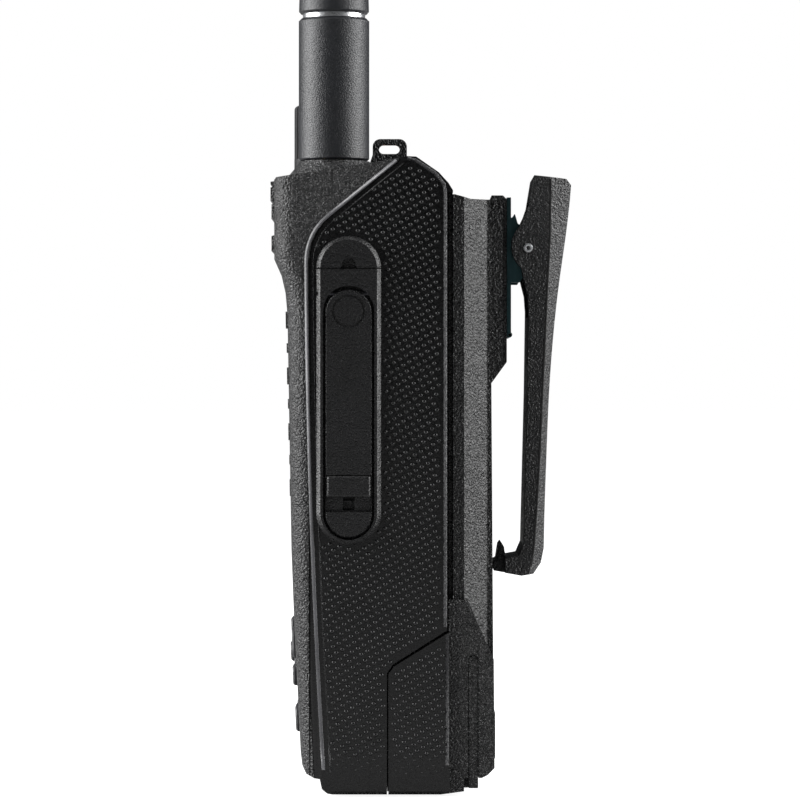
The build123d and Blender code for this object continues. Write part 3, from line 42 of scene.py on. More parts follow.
# ------------------------------------------------------------------ materials
def new_material(name):
    """An empty node material and its Principled shader."""
    material = bpy.data.materials.new(name)
    material.use_nodes = True
    nodes = material.node_tree.nodes
    nodes.clear()
    output = nodes.new("ShaderNodeOutputMaterial")
    shader = nodes.new("ShaderNodeBsdfPrincipled")
    material.node_tree.links.new(shader.outputs["BSDF"], output.inputs["Surface"])
    return material, shader


def link(material, source, target):
    material.node_tree.links.new(source, target)


def add_node(material, kind, **values):
    node = material.node_tree.nodes.new(kind)
    for key, value in values.items():
        setattr(node, key, value)
    return node


def object_place(material, scale=(1000.0, 1000.0, 1000.0)):
    """Object coordinates in millimetres."""
    place = add_node(material, "ShaderNodeTexCoord")
    mapping = add_node(material, "ShaderNodeMapping")
    mapping.inputs["Scale"].default_value = scale
    link(material, place.outputs["Object"], mapping.inputs["Vector"])
    return mapping.outputs["Vector"]


def ramp(material, source, stops):
    """A colour ramp of (position, colour) stops."""
    node = add_node(material, "ShaderNodeValToRGB")
    while len(node.color_ramp.elements) < len(stops):
        node.color_ramp.elements.new(0.5)
    for element, (position, colour) in zip(node.color_ramp.elements, stops):
        element.position = position
        element.color = (*colour, 1.0)
    link(material, source, node.inputs["Fac"])
    return node.outputs["Color"]


def span(material, source, low, high, to_low, to_high):
    """A value mapped from low..high to to_low..to_high."""
    node = add_node(material, "ShaderNodeMapRange")
    node.inputs["From Min"].default_value = low
    node.inputs["From Max"].default_value = high
    node.inputs["To Min"].default_value = to_low
    node.inputs["To Max"].default_value = to_high
    link(material, source, node.inputs["Value"])
    return node.outputs["Result"]


ROUGH_SWING = 0.08  # how far the grain moves the roughness each way
MOTTLE_SCALE, MOTTLE_SWING = 0.09, 0.2  # patches per millimetre, and their contrast
GRAIN_EDGE, GRAIN_LEFT = 0.1, 0.04  # width of the fade in millimetres, share that remains


def smooth_sides(material, place, height, beyond):
    """Fades a grain out on the faces that lie further than beyond from the centre plane."""
    axes = add_node(material, "ShaderNodeSeparateXYZ")
    link(material, place, axes.inputs["Vector"])
    reach = add_node(material, "ShaderNodeMath", operation="ABSOLUTE")
    link(material, axes.outputs["X"], reach.inputs[0])
    keep = span(material, reach.outputs["Value"], beyond, beyond + GRAIN_EDGE, 1.0, GRAIN_LEFT)
    faded = add_node(material, "ShaderNodeMath", operation="MULTIPLY")
    link(material, height, faded.inputs[0])
    link(material, keep, faded.inputs[1])
    return faded.outputs["Value"]


def grained_plastic(name, colour, rough, grain_mm, grain_depth, beyond=0.0):
    """Moulded plastic or rubber: an etched grain and faint mottling.

    grain_mm is the size of the grain and grain_depth its depth in millimetres. With
    beyond, the grain is left out further than that from the centre plane.
    """
    material, shader = new_material(name)
    place = object_place(material)
    grain = add_node(material, "ShaderNodeTexNoise")
    grain.inputs["Scale"].default_value = 1.0 / grain_mm
    grain.inputs["Detail"].default_value = 2.0
    grain.inputs["Roughness"].default_value = 0.5
    link(material, place, grain.inputs["Vector"])
    height = grain.outputs["Fac"]
    if beyond:
        height = smooth_sides(material, place, height, beyond)
    bump = add_node(material, "ShaderNodeBump")
    bump.inputs["Strength"].default_value = 1.0
    bump.inputs["Distance"].default_value = grain_depth * MM
    link(material, height, bump.inputs["Height"])
    link(material, bump.outputs["Normal"], shader.inputs["Normal"])

    mottle = add_node(material, "ShaderNodeTexNoise")
    mottle.inputs["Scale"].default_value = MOTTLE_SCALE
    mottle.inputs["Detail"].default_value = 4.0
    link(material, place, mottle.inputs["Vector"])
    darker = tuple((1 - MOTTLE_SWING) * c for c in colour)
    lighter = tuple((1 + MOTTLE_SWING) * c for c in colour)
    link(
        material,
        ramp(material, mottle.outputs["Fac"], [(0.35, darker), (0.65, lighter)]),
        shader.inputs["Base Color"],
    )
    link(
        material,
        span(material, grain.outputs["Fac"], 0.3, 0.7, rough - ROUGH_SWING, rough + ROUGH_SWING),
        shader.inputs["Roughness"],
    )
    return material


def metal(name, colour, rough, scratch_mm=0.25, bump_depth=0.004, stretch=(1.0, 1.0, 0.06)):
    """Metal with fine drawn or brushed lines."""
    material, shader = new_material(name)
    place = object_place(material, tuple(1000.0 * s for s in stretch))
    lines = add_node(material, "ShaderNodeTexNoise")
    lines.inputs["Scale"].default_value = 1.0 / scratch_mm
    lines.inputs["Detail"].default_value = 4.0
    link(material, place, lines.inputs["Vector"])
    shader.inputs["Metallic"].default_value = 1.0
    dull = tuple(0.82 * c for c in colour)
    link(
        material,
        ramp(material, lines.outputs["Fac"], [(0.3, dull), (0.7, colour)]),
        shader.inputs["Base Color"],
    )
    link(
        material,
        span(material, lines.outputs["Fac"], 0.3, 0.7, rough - 0.07, rough + 0.09),
        shader.inputs["Roughness"],
    )
    bump = add_node(material, "ShaderNodeBump")
    bump.inputs["Distance"].default_value = bump_depth * MM
    link(material, lines.outputs["Fac"], bump.inputs["Height"])
    link(material, bump.outputs["Normal"], shader.inputs["Normal"])
    return material


HOUSING = grained_plastic("housing_plastic", (0.006, 0.006, 0.0066), 0.31, 0.42, 0.45)
GRIP = grained_plastic(
    "grip_plastic", (0.0028, 0.0028, 0.0031), 0.27, 0.42, 0.40, beyond=27.2
)
BEZEL = grained_plastic("bezel_plastic", (0.0055, 0.0055, 0.006), 0.3, 0.34, 0.18)
GRIP_DOT = grained_plastic("grip_dot_plastic", (0.006, 0.006, 0.0066), 0.22, 0.3, 0.004)
# the seam lip's plastic is many times lighter than the housing it belongs to: a painted highlight
# along the lip
LIP_PAINTED_HIGHLIGHT = grained_plastic("lip_plastic_painted_highlight", (0.09, 0.09, 0.096), 0.3, 0.3, 0.03)
# lighter than the grip plastic of the chassis and battery: a painted highlight along the rear edges
# of the side faces
EDGE = grained_plastic("edge_plastic_painted_highlight", (0.03, 0.03, 0.032), 0.3, 0.34, 0.30)
SEAL = grained_plastic("seal_rubber", (0.004, 0.004, 0.004), 0.7, 0.3, 0.02)
ANTENNA = grained_plastic("antenna_rubber", (0.010, 0.011, 0.0135), 0.42, 0.3, 0.12)
CLIP = grained_plastic("clip_plastic", (0.005, 0.005, 0.0056), 0.32, 0.4, 0.36)
KNOB = grained_plastic("knob_plastic", (0.014, 0.014, 0.015), 0.42, 0.3, 0.05)
KEY = grained_plastic("key_rubber", (0.03, 0.03, 0.033), 0.5, 0.2, 0.015)
PAINT = grained_plastic("pale_paint", (0.55, 0.55, 0.54), 0.45, 0.2, 0.004)
ORANGE = grained_plastic("orange_plastic", (0.75, 0.13, 0.01), 0.42, 0.3, 0.02)
BOARD = grained_plastic("solder_mask", (0.01, 0.07, 0.03), 0.3, 0.5, 0.01)
CELL = grained_plastic("cell_wrap", (0.05, 0.09, 0.14), 0.35, 0.5, 0.01)
STEEL = metal("sheet_steel", (0.62, 0.62, 0.64), 0.3)
DARK_STEEL = metal("dark_steel", (0.05, 0.05, 0.055), 0.4)
CAST = metal("cast_alloy", (0.55, 0.56, 0.58), 0.5, 0.6, 0.02, (1, 1, 1))
BRASS = metal("brass", (0.72, 0.52, 0.22), 0.28)
GOLD = metal("gold_plate", (0.9, 0.66, 0.25), 0.2)
SILVER = metal("ring_silver", (0.78, 0.79, 0.81), 0.3, 0.15, 0.004, (1, 1, 1))
CLIP_STEEL = metal("clip_steel", (0.05, 0.10, 0.11), 0.36)


SMUDGE_SCALE, SMUDGE_ROUGH = 0.15, 0.06


def glass_like(name, colour, rough, alpha):
    """A glossy clear or dark surface with faint smudges."""
    material, shader = new_material(name)
    place = object_place(material)
    smudge = add_node(material, "ShaderNodeTexNoise")
    smudge.inputs["Scale"].default_value = SMUDGE_SCALE
    smudge.inputs["Detail"].default_value = 5.0
    link(material, place, smudge.inputs["Vector"])
    link(
        material,
        span(material, smudge.outputs["Fac"], 0.4, 0.7, rough, rough + SMUDGE_ROUGH),
        shader.inputs["Roughness"],
    )
    shader.inputs["Base Color"].default_value = (*colour, 1)
    shader.inputs["Alpha"].default_value = alpha
    return material


LENS = glass_like("lens_clear", (0.02, 0.022, 0.025), 0.05, 0.45)
PANEL = glass_like("display_panel", (0.02, 0.028, 0.03), 0.12, 1.0)

LOOKS = {
    HOUSING: ["front_housing", "strap_loop"],
    GRIP: ["rear_chassis", "battery_case", "battery_cover_plate", "battery_latch"],
    SEAL: ["main_seal", "keypad_membrane", "contact_carrier", "battery_spring_contacts"],
    BEZEL: ["connector_frame", "ptt_bezel", "dust_cover", "cover_latch", "speaker_grille"],
    ANTENNA: ["antenna_sleeve", "antenna_whip"],
    CLIP: ["clip_carriage", "clip_lever"],
    KNOB: ["channel_knob", "volume_knob", "speaker_driver"],
    KEY: [
        "key_up", "key_down", "key_left", "key_right", "key_ok", "key_menu", "key_back",
        "key_program_1", "key_program_2", "ptt_button", "side_button_top", "side_button_upper",
        "side_button_lower",
    ],
    ORANGE: ["emergency_button"],
    BOARD: ["main_board", "side_switch_board", "battery_board"],
    CELL: ["battery_cells"],
    STEEL: [
        "microphone", "rf_shields", "chassis_screws", "channel_switch", "volume_switch",
        "clip_torsion_spring", "clip_pin",
    ],
    DARK_STEEL: ["cover_pin"],
    CAST: ["cast_frame"],
    BRASS: ["antenna_socket", "antenna_stud", "channel_shaft", "volume_shaft"],
    GOLD: ["accessory_contacts", "battery_contacts"],
    SILVER: ["antenna_id_ring"],
    CLIP_STEEL: ["clip_bracket"],
    LENS: ["display_lens", "led_window"],
    PANEL: ["display_module"],
}
for look, names in LOOKS.items():
    for name in names:
        data = NODES[name].data
        data.materials.clear()
        data.materials.append(look)


def soften(name, width_mm, segments=2, angle=30.0):
    """Rounds the sharp edges of a CAD node."""
    piece = NODES[name]
    weld = piece.modifiers.new("weld", "WELD")
    weld.merge_threshold = 0.002 * MM
    bevel = piece.modifiers.new("soft_edges", "BEVEL")
    bevel.width = width_mm * MM
    bevel.segments = segments
    bevel.limit_method = "ANGLE"
    bevel.angle_limit = math.radians(angle)
    bevel.use_clamp_overlap = True
    bevel.harden_normals = False


# width of the rounded edge of each CAD node, in millimetres
EDGE_WIDTHS = {
    "rear_chassis": 0.3,
    "front_housing": 0.25,
    "battery_case": 0.3,
    "clip_lever": 0.4,
    "clip_carriage": 0.25,
    "clip_bracket": 0.12,
    "strap_loop": 0.35,
    "cover_latch": 0.2,
    "dust_cover": 0.12,
    "connector_frame": 0.12,
    "ptt_bezel": 0.15,
    "ptt_button": 0.3,
    "battery_latch": 0.15,
    "speaker_grille": 0.12,
}
for name, width in EDGE_WIDTHS.items():
    soften(name, width)


# ------------------------------------------------------------------ pieces built here
HALF_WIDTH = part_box("rear_chassis")[1][0] / MM
SIDES = (("right", 1), ("left", -1))


def mesh_piece(name, vertices, faces, material, body, smooth=True):
    """A new piece from vertices in millimetres; it rides on a body."""
    mesh = bpy.data.meshes.new(name)
    mesh.from_pydata([tuple(MM * c for c in vertex) for vertex in vertices], [], faces)
    mesh.update()
    if smooth:
        mesh.polygons.foreach_set("use_smooth", [True] * len(mesh.polygons))
    mesh.materials.append(material)
    piece = bpy.data.objects.new(name, mesh)
    bpy.context.scene.collection.objects.link(piece)
    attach(piece, body)
    return piece


def rounded_path(points, radius, steps=6):
    """The points of a path with each inner corner replaced by an arc."""
    path = [Vector(points[0])]
    for before, corner, after in zip(points, points[1:], points[2:]):
        corner = Vector(corner)
        back = (Vector(before) - corner).normalized()
        ahead = (Vector(after) - corner).normalized()
        half_angle = back.angle(ahead) / 2
        centre = corner + (back + ahead).normalized() * radius / math.sin(half_angle)
        start = corner + back * radius / math.tan(half_angle) - centre
        stop = corner + ahead * radius / math.tan(half_angle) - centre
        sweep = start.angle_signed(stop)
        for step in range(steps + 1):
            turn = -sweep * step / steps
            path.append(centre + Matrix.Rotation(turn, 2) @ start)
    path.append(Vector(points[-1]))
    return path


# moulded lip between the front and the grip on a side face, as (Y, Z): it leans back
# towards the foot, and bends over to the deck above
LEAN_TOP_Z, LEAN_TOP_Y = 107.0, -14.95


LEAN_SLOPE, LEAN_CURVE = 0.008, 0.00026
BEND_CORNER, BEND_RADIUS = (LEAN_TOP_Y, 114.5), 11.85
LIP_LOW_Z, LIP_STEP, DECK_POINT = 5, 6, (3.45, 129.4)


def lean_y(z):
    """How far back the lip is at a height below the bend."""
    below = LEAN_TOP_Z - z
    return LEAN_TOP_Y + LEAN_SLOPE * below + LEAN_CURVE * below**2


SEAM_LINE = [
    Vector((lean_y(z), z)) for z in range(LIP_LOW_Z, int(LEAN_TOP_Z), LIP_STEP)
] + rounded_path([(LEAN_TOP_Y, LEAN_TOP_Z + 1), BEND_CORNER, DECK_POINT], BEND_RADIUS, 12)


def inside(polygon, point, margin):
    """Whether a point is in a polygon and at least margin from its sides."""
    y, z = point
    within = False
    for (y1, z1), (y2, z2) in zip(polygon, polygon[1:] + polygon[:1]):
        if (z1 > z) != (z2 > z) and y < (y2 - y1) * (z - z1) / (z2 - z1) + y1:
            within = not within
        run = Vector((y2 - y1, z2 - z1))
        along = max(0.0, min(1.0, (Vector((y - y1, z - z1)).dot(run)) / run.length_squared))
        if (Vector((y1, z1)) + along * run - Vector((y, z))).length < margin:
            return False
    return within


DOT_PITCH, DOT_TURN = 1.42, math.radians(30)
DOT_RADIUS, DOT_HEIGHT = 0.47, 0.36
DOT_SIDES, DOT_RINGS = 10, 4
DOT_ORIGIN, DOT_REACH = (-1.0, 60.0), 110  # of the lattice, in millimetres and in pitches
DOT_MARGIN = 0.75  # least distance of a dot from the outline
DOT_ROOT, DOT_SMALLEST = 0.02, 0.35  # how deep a dot is set in, and its least share
DOT_FADE = (5.6, 8.6)  # heights between which the dots grow to their full size


def add_dome(vertices, faces, side, y, z, size):
    """A low dome on a side face."""
    base = len(vertices)
    for ring in range(DOT_RINGS):
        lift = math.radians(90) * ring / DOT_RINGS
        radius = DOT_RADIUS * size * math.cos(lift)
        height = DOT_HEIGHT * size * math.sin(lift) - DOT_ROOT
        for step in range(DOT_SIDES):
            turn = side * 2 * math.pi * step / DOT_SIDES
            around = (y + radius * math.cos(turn), z + radius * math.sin(turn))
            vertices.append((side * (HALF_WIDTH + height), *around))
    vertices.append((side * (HALF_WIDTH + DOT_HEIGHT * size - DOT_ROOT), y, z))
    for ring in range(DOT_RINGS - 1):
        for step in range(DOT_SIDES):
            low = base + ring * DOT_SIDES + step
            next_low = base + ring * DOT_SIDES + (step + 1) % DOT_SIDES
            faces.append((low, next_low, next_low + DOT_SIDES, low + DOT_SIDES))
    top = base + (DOT_RINGS - 1) * DOT_SIDES
    for step in range(DOT_SIDES):
        faces.append((top + step, top + (step + 1) % DOT_SIDES, base + DOT_RINGS * DOT_SIDES))
    faces.append(tuple(base + step for step in reversed(range(DOT_SIDES))))


def grip_dots(name, side, polygon, keep_off, body):
    """The moulded dots of one grip face: a turned square lattice of domes."""
    vertices, faces = [], []
    cos_turn, sin_turn = math.cos(DOT_TURN), math.sin(DOT_TURN)
    for row in range(-DOT_REACH, DOT_REACH):
        for column in range(-DOT_REACH, DOT_REACH):
            y = DOT_PITCH * (column * cos_turn + row * sin_turn) + DOT_ORIGIN[0]
            z = DOT_PITCH * (column * sin_turn - row * cos_turn) + DOT_ORIGIN[1]
            if not inside(polygon, (y, z), DOT_MARGIN) or keep_off(y, z):
                continue
            grown = (z - DOT_FADE[0]) / (DOT_FADE[1] - DOT_FADE[0])
            size = max(DOT_SMALLEST, min(1.0, grown))
            add_dome(vertices, faces, side, y, z, size)
    return mesh_piece(name, vertices, faces, GRIP_DOT, body)


PILL_Y, PILL_LOW_Z, PILL_HIGH_Z, PILL_RADIUS = -6.8, 51.0, 114.1, 6.6
CLEAR_OF_DOTS = 0.6  # round the pill and behind the lip


def near_pill(y, z):
    """Whether a point is on or beside the raised pill of the side module."""
    centre_z = min(max(z, PILL_LOW_Z + PILL_RADIUS), PILL_HIGH_Z - PILL_RADIUS)
    return math.hypot(y - PILL_Y, z - centre_z) < PILL_RADIUS + CLEAR_OF_DOTS


# outlines of the dotted areas, as (Y, Z)
CHASSIS_FACE = [tuple(point + Vector((CLEAR_OF_DOTS, 0))) for point in SEAM_LINE] + [
    (5.9, 129.3), (10.9, 126.3), (12.5, 124.3), (12.5, 33.1), (2.2, 26.6), (1.0, 24.8), (1.0, 3.4),
]
FOOT_FACE = [(1.3, 3.4), (1.3, 24.6), (2.45, 26.2), (13.6, 33.1), (13.6, 3.4)]

for side_name, side in SIDES:
    grip_dots(f"grip_dots_{side_name}", side, CHASSIS_FACE, near_pill, "housing")
    grip_dots(
        f"foot_dots_{side_name}", side, FOOT_FACE, lambda y, z: False, "battery"
    )


ROUND_PROFILE = [(math.cos(math.pi * k / 6), math.sin(math.pi * k / 6)) for k in range(7)]
# a long slope towards the front, a narrow crest and a steep back, as (across, height)
LIP_PROFILE = [
    (0.30, -0.05), (0.27, 0.30), (0.16, 0.42), (0.04, 0.41), (-0.42, 0.07), (-0.50, -0.05),
]


def side_bead(name, side, path, profile, material, body, base=0.0, rise=lambda z: 1.0):
    """A bead along a path of (Y, Z) points on a side face, its profile as (across, height).

    rise gives the share of the profile's height at each Z.
    """
    vertices, faces = [], []
    count, size = len(path), len(profile)
    for index, point in enumerate(path):
        along = (path[min(index + 1, count - 1)] - path[max(index - 1, 0)]).normalized()
        across = Vector((along.y, -along.x))
        for offset, height in profile:
            place = point + across * offset
            lift = height * rise(point.y) if height > 0 else height
            vertices.append((side * (HALF_WIDTH + base + lift), place.x, place.y))
    for index in range(count - 1):
        here, there = index * size, (index + 1) * size
        for step in range(size):
            following = (step + 1) % size
            quad = (here + step, there + step, there + following, here + following)
            faces.append(quad if side > 0 else quad[::-1])
    first, last = list(range(size)), list(range((count - 1) * size, count * size))
    faces.append(tuple(first[::-1] if side > 0 else first))
    faces.append(tuple(last if side > 0 else last[::-1]))
    return mesh_piece(name, vertices, faces, material, body)


def round_profile(half_width, rise):
    """Half an ellipse, as (across, height)."""
    return [(half_width * across, rise * height) for across, height in ROUND_PROFILE]


# a steep front and a long slope that faces the rear
EDGE_PROFILE = [(-0.34, -0.05), (-0.30, 0.20), (-0.20, 0.30), (-0.06, 0.30), (0.48, -0.05)]
# rear edges of the two side faces, as (Y, Z)
CHASSIS_EDGE = [
    Vector(point)
    for point in (
        (5.2, 130.0), (7.0, 129.5), (10.9, 126.9), (12.7, 124.7), (12.95, 123.0), (12.95, 34.3),
    )
]
FOOT_EDGE = [Vector((13.35, 32.8)), Vector((13.35, 6.0))]
LIP_FADE = (46.0, 80.0)  # heights between which the lip rises to its full height
LIP_LOWEST = 0.4  # share of the full height that it has below
LIP_SHIFT = Vector((-0.45, 0.1))  # from the seam line to the middle of the lip


def lip_rise(z):
    """Share of its full height that the lip has at a height on the side face."""
    low, high = LIP_FADE
    risen = max(0.0, min(1.0, (z - low) / (high - low)))
    return LIP_LOWEST + (1 - LIP_LOWEST) * risen


LINE_SHIFT = Vector((0.95, -0.475))  # to the fine line that runs beside the lip
BEVEL_ROOT = 0.02  # how deep the line along the lever's bevel is set in
PARTING_LINE = [Vector((-10.2, 119.1)), Vector((-10.2, 127.6))]
# where the side of the clip lever meets its bevel, as (Y, Z)
CLIP_SIDE_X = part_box("clip_lever")[1][0] / MM
BEVEL_LINE = [
    Vector(point)
    for point in (
        (30.9, 46.2), (31.4, 49.8), (31.95, 57.0), (32.7, 70.2), (33.2, 82.0), (33.7, 92.0),
        (34.2, 103.5), (34.8, 115.0), (34.9, 126.6),
    )
]

for side_name, side in SIDES:
    # the seam lip is drawn in the lighter plastic: its brightness is a painted highlight
    lip = [point + LIP_SHIFT for point in SEAM_LINE]
    side_bead(
        f"seam_lip_{side_name}", side, lip, LIP_PROFILE, LIP_PAINTED_HIGHLIGHT, "housing",
        rise=lip_rise,
    )
    beside = [point + LINE_SHIFT for point in SEAM_LINE]
    side_bead(
        f"seam_line_{side_name}", side, beside, round_profile(0.16, 0.12), GRIP_DOT, "housing",
    )
    # the rear edge beads of chassis and foot are drawn in the lighter plastic: their brightness is
    # a painted highlight
    side_bead(
        f"chassis_edge_{side_name}", side, CHASSIS_EDGE, EDGE_PROFILE, EDGE, "housing",
    )
    side_bead(
        f"foot_edge_{side_name}", side, FOOT_EDGE, EDGE_PROFILE, EDGE, "battery",
    )
    side_bead(
        f"parting_line_{side_name}", side, PARTING_LINE, round_profile(0.12, 0.03), SEAL,
        "housing",
    )
    side_bead(
        f"bevel_line_{side_name}", side, BEVEL_LINE, round_profile(0.24, 0.05), SEAL, "clip_arm",
        base=CLIP_SIDE_X - HALF_WIDTH - BEVEL_ROOT,
    )


def turned_ring(name, side, base_x, centre, profile, material, body, steps=32):
    """A ring of (radius, height) profile points, standing on a face that looks along X."""
    vertices, faces = [], []
    size = len(profile)
    for step in range(steps):
        turn = 2 * math.pi * step / steps
        for radius, height in profile:
            vertices.append(
                (
                    side * (base_x + height),
                    centre[0] + radius * math.cos(turn),
                    centre[1] + radius * math.sin(turn),
                )
            )
    for step in range(steps):
        here, there = step * size, (step + 1) % steps * size
        for k in range(size):
            following = (k + 1) % size
            quad = (here + k, here + following, there + following, there + k)
            faces.append(quad if side > 0 else quad[::-1])
    return mesh_piece(name, vertices, faces, material, body)


PIN_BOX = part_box("clip_pin")
PIN_CENTRE = tuple((PIN_BOX[0][k] + PIN_BOX[1][k]) / 2 / MM for k in (1, 2))
PIN_RIM_ROOT = 0.1  # how far inside the pin's end the rim stands
# the pin's raised rim, and a flat black disc inside it that is painted shade for the hollow of the
# pin's end, as (radius, height)
PIN_RIM = [(0.42, -0.05), (0.42, 0.02), (0.52, 0.12), (0.72, 0.15), (0.88, 0.08), (0.93, -0.05)]
PIN_SHADE_DISC = [(0.0, -0.02), (0.0, 0.03), (0.40, 0.02), (0.43, -0.02)]
for side_name, side in SIDES:
    pin_x = PIN_BOX[1][0] / MM - PIN_RIM_ROOT
    turned_ring(
        f"pin_rim_{side_name}", side, pin_x, PIN_CENTRE, PIN_RIM, SILVER, "clip_slider",
    )
    # painted shade: a black disc where the pin's end is hollow
    turned_ring(
        f"pin_shade_disc_{side_name}", side, pin_x + PIN_RIM_ROOT, PIN_CENTRE, PIN_SHADE_DISC, SEAL,
        "clip_slider",
    )


# ------------------------------------------------------------------ paint on keys and knobs
def bar(width, height, up=0.0, along=0.0):
    """Outline of an upright rectangle, as (X, Z) about a key's centre."""
    w, h = width / 2, height / 2
    return [(along - w, up - h), (along + w, up - h), (along + w, up + h), (along - w, up + h)]


def disc(radius, along=0.0, steps=16):
    """Outline of a disc, as (X, Z) about a key's centre."""
    turns = (2 * math.pi * step / steps for step in range(steps))
    return [(along + radius * math.cos(turn), radius * math.sin(turn)) for turn in turns]


GLYPHS = {
    "key_up": [[(-1.1, -0.6), (1.1, -0.6), (0.0, 0.8)]],
    "key_down": [[(-1.1, 0.6), (0.0, -0.8), (1.1, 0.6)]],
    "key_left": [[(0.5, -1.0), (0.5, 1.0), (-0.7, 0.0)]],
    "key_right": [[(-0.5, -1.0), (0.7, 0.0), (-0.5, 1.0)]],
    "key_ok": [disc(0.8)],
    "key_menu": [bar(3.2, 0.4, up=step) for step in (-1.0, 0.0, 1.0)],
    "key_back": [[(-0.4, -1.2), (-0.4, 1.2), (-1.8, 0.0)], bar(2.2, 0.6, along=0.7)],
    "key_program_1": [disc(0.55)],
    "key_program_2": [disc(0.55, along=-1.0), disc(0.55, along=1.0)],
}
PAINT_RISE, PAINT_ROOT = 0.03, 0.12  # above the key's face and below it
POINTER_HALF_WIDTH, POINTER_SPAN = 0.44, (0.84, 0.16)  # span as shares of the knob's radius
POINTER_DROPS = (0.15, 0.5)  # of its top and bottom below the knob's top
bpy.context.view_layer.update()


def surface_y(node, x, z):
    """Y of a node's front surface at a place, in millimetres."""
    into_node = node.matrix_world.inverted()
    start = into_node @ Vector((x * MM, -0.1, z * MM))
    hit, place, _, _ = node.ray_cast(start, into_node.to_3x3() @ Vector((0, 1, 0)))
    return (node.matrix_world @ place).y / MM if hit else None


for key_name, outlines in GLYPHS.items():
    low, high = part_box(key_name)
    centre_x, centre_z = (low[0] + high[0]) / 2 / MM, (low[2] + high[2]) / 2 / MM
    vertices, faces = [], []
    for outline in outlines:
        base, count = len(vertices), len(outline)
        spots = [(centre_x + x, centre_z + z) for x, z in outline]
        depths = [surface_y(NODES[key_name], x, z) for x, z in spots]
        for shift in (-PAINT_RISE, PAINT_ROOT):
            vertices += [(x, y + shift, z) for (x, z), y in zip(spots, depths)]
        faces.append(tuple(base + k for k in range(count)))
        for k in range(count):
            following = (k + 1) % count
            faces.append((base + k, base + count + k, base + count + following, base + following))
    mesh_piece(f"{key_name}_mark", vertices, faces, PAINT, f"{key_name}_body", False)

for knob_name in ("channel", "volume"):
    low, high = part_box(f"{knob_name}_knob")
    middle_x, middle_y = (low[0] + high[0]) / 2 / MM, (low[1] + high[1]) / 2 / MM
    radius, top = (high[0] - low[0]) / 2 / MM, high[2] / MM
    near, far = (middle_y - share * radius for share in POINTER_SPAN)
    half = POINTER_HALF_WIDTH
    corners = [(-half, near), (half, near), (half, far), (-half, far)]
    vertices = [(middle_x + x, y, top - drop) for drop in POINTER_DROPS for x, y in corners]
    faces = [(0, 1, 2, 3)] + [(k, k + 4, (k + 1) % 4 + 4, (k + 1) % 4) for k in range(4)]
    mesh_piece(
        f"{knob_name}_pointer", vertices, faces, PAINT, f"{knob_name}_control", False
    )


# ------------------------------------------------------------------ stage, light and camera
# light that the camera sees coming from the floor itself, near the radio and far from it
FLOOR_NEAR, FLOOR_FAR = 0.9, 1.0
FLOOR_BLEND = (0.12, 0.4)  # metres from the radio
FLOOR_HALF, FLOOR_Z, FLOOR_GREY = 30.0, -0.0005, (0.35, 0.35, 0.35)
SURROUND_COLOUR, SURROUND_STRENGTH = (0.93, 0.96, 1.0, 1), 0.03
# name, place, what it points at, width, power, height: metres and watts
SOFT_BOXES = [
    ("soft_left", (0.08, -1.3, 0.45), (0, 0, 0.08), 1.1, 54, 1.4),
    ("soft_right", (0.1, 1.3, 0.6), (0, 0, 0.08), 1.0, 40, 1.2),
    ("soft_top", (-0.2, 0.0, 1.6), (0, 0, 0.1), 1.2, 12, 1.2),
]
CAMERA_PLACE, CAMERA_LENS, CAMERA_SENSOR = (0.8775, 0.00367, 0.0806), 187.4, 36.0


def seen_white(name, colour):
    """A matte surface that the camera sees glow, less near the radio, and that lights nothing."""
    material, shader = new_material(name)
    shader.inputs["Base Color"].default_value = (*colour, 1)
    shader.inputs["Roughness"].default_value = 1.0
    shader.inputs["Emission Color"].default_value = (1, 1, 1, 1)
    place = add_node(material, "ShaderNodeTexCoord")
    reach = add_node(material, "ShaderNodeVectorMath", operation="LENGTH")
    link(material, place.outputs["Object"], reach.inputs[0])
    glow = span(material, reach.outputs["Value"], *FLOOR_BLEND, FLOOR_NEAR, FLOOR_FAR)
    path = add_node(material, "ShaderNodeLightPath")
    seen = add_node(material, "ShaderNodeMath", operation="MULTIPLY")
    link(material, path.outputs["Is Camera Ray"], seen.inputs[0])
    link(material, glow, seen.inputs[1])
    link(material, seen.outputs["Value"], shader.inputs["Emission Strength"])
    return material


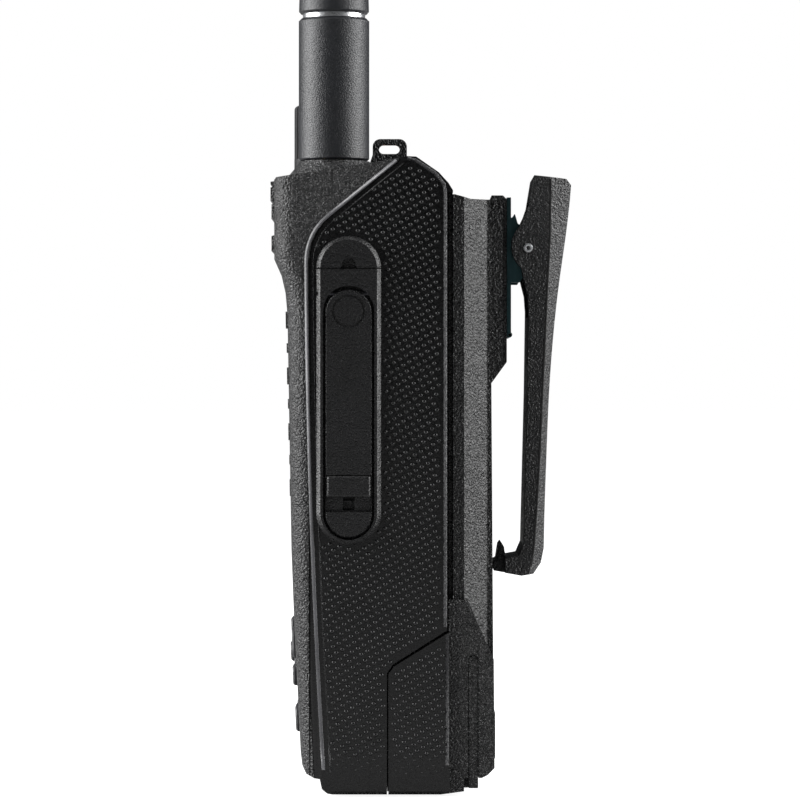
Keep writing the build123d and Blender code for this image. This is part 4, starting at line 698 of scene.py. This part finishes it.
def build_stage():
    """A pale floor just under the radio."""
    mesh = bpy.data.meshes.new("floor")
    half = FLOOR_HALF
    mesh.from_pydata(
        [(-half, -half, 0), (half, -half, 0), (half, half, 0), (-half, half, 0)], [], [(0, 1, 2, 3)]
    )
    floor = bpy.data.objects.new("floor", mesh)
    floor.location.z = FLOOR_Z
    mesh.materials.append(seen_white("pale_floor", FLOOR_GREY))
    bpy.context.scene.collection.objects.link(floor)


def area_light(name, place, aim, size, power, size_y):
    """A rectangular soft box that points at a place."""
    data = bpy.data.lights.new(name, "AREA")
    data.shape = "RECTANGLE"
    data.size = size
    data.size_y = size_y
    data.energy = power
    light = bpy.data.objects.new(name, data)
    light.location = place
    light.rotation_mode = "QUATERNION"
    light.rotation_quaternion = (Vector(aim) - Vector(place)).to_track_quat("-Z", "Y")
    bpy.context.scene.collection.objects.link(light)


def build_light():
    """A white surround for the camera, a dim one for the light, and the soft boxes."""
    world = bpy.data.worlds.new("studio")
    world.use_nodes = True
    tree = world.node_tree
    tree.nodes["Background"].inputs["Color"].default_value = (1, 1, 1, 1)
    tree.nodes["Background"].inputs["Strength"].default_value = 1.0
    surround = tree.nodes.new("ShaderNodeBackground")
    surround.inputs["Color"].default_value = SURROUND_COLOUR
    surround.inputs["Strength"].default_value = SURROUND_STRENGTH
    path = tree.nodes.new("ShaderNodeLightPath")
    choose = tree.nodes.new("ShaderNodeMixShader")
    tree.links.new(path.outputs["Is Camera Ray"], choose.inputs["Fac"])
    tree.links.new(surround.outputs["Background"], choose.inputs[1])
    tree.links.new(tree.nodes["Background"].outputs["Background"], choose.inputs[2])
    tree.links.new(choose.outputs["Shader"], tree.nodes["World Output"].inputs["Surface"])
    bpy.context.scene.world = world
    for soft_box in SOFT_BOXES:
        area_light(*soft_box)


def build_camera():
    """A long lens, square to the side with the accessory connector."""
    data = bpy.data.cameras.new("camera")
    data.sensor_width = CAMERA_SENSOR
    data.lens = CAMERA_LENS
    camera = bpy.data.objects.new("camera", data)
    camera.location = CAMERA_PLACE
    camera.rotation_euler = (math.radians(90), 0, math.radians(90))
    bpy.context.scene.collection.objects.link(camera)
    bpy.context.scene.camera = camera


build_stage()
build_light()
build_camera()
bpy.context.scene.view_settings.view_transform = "Standard"
bpy.context.scene.cycles.use_denoising = True
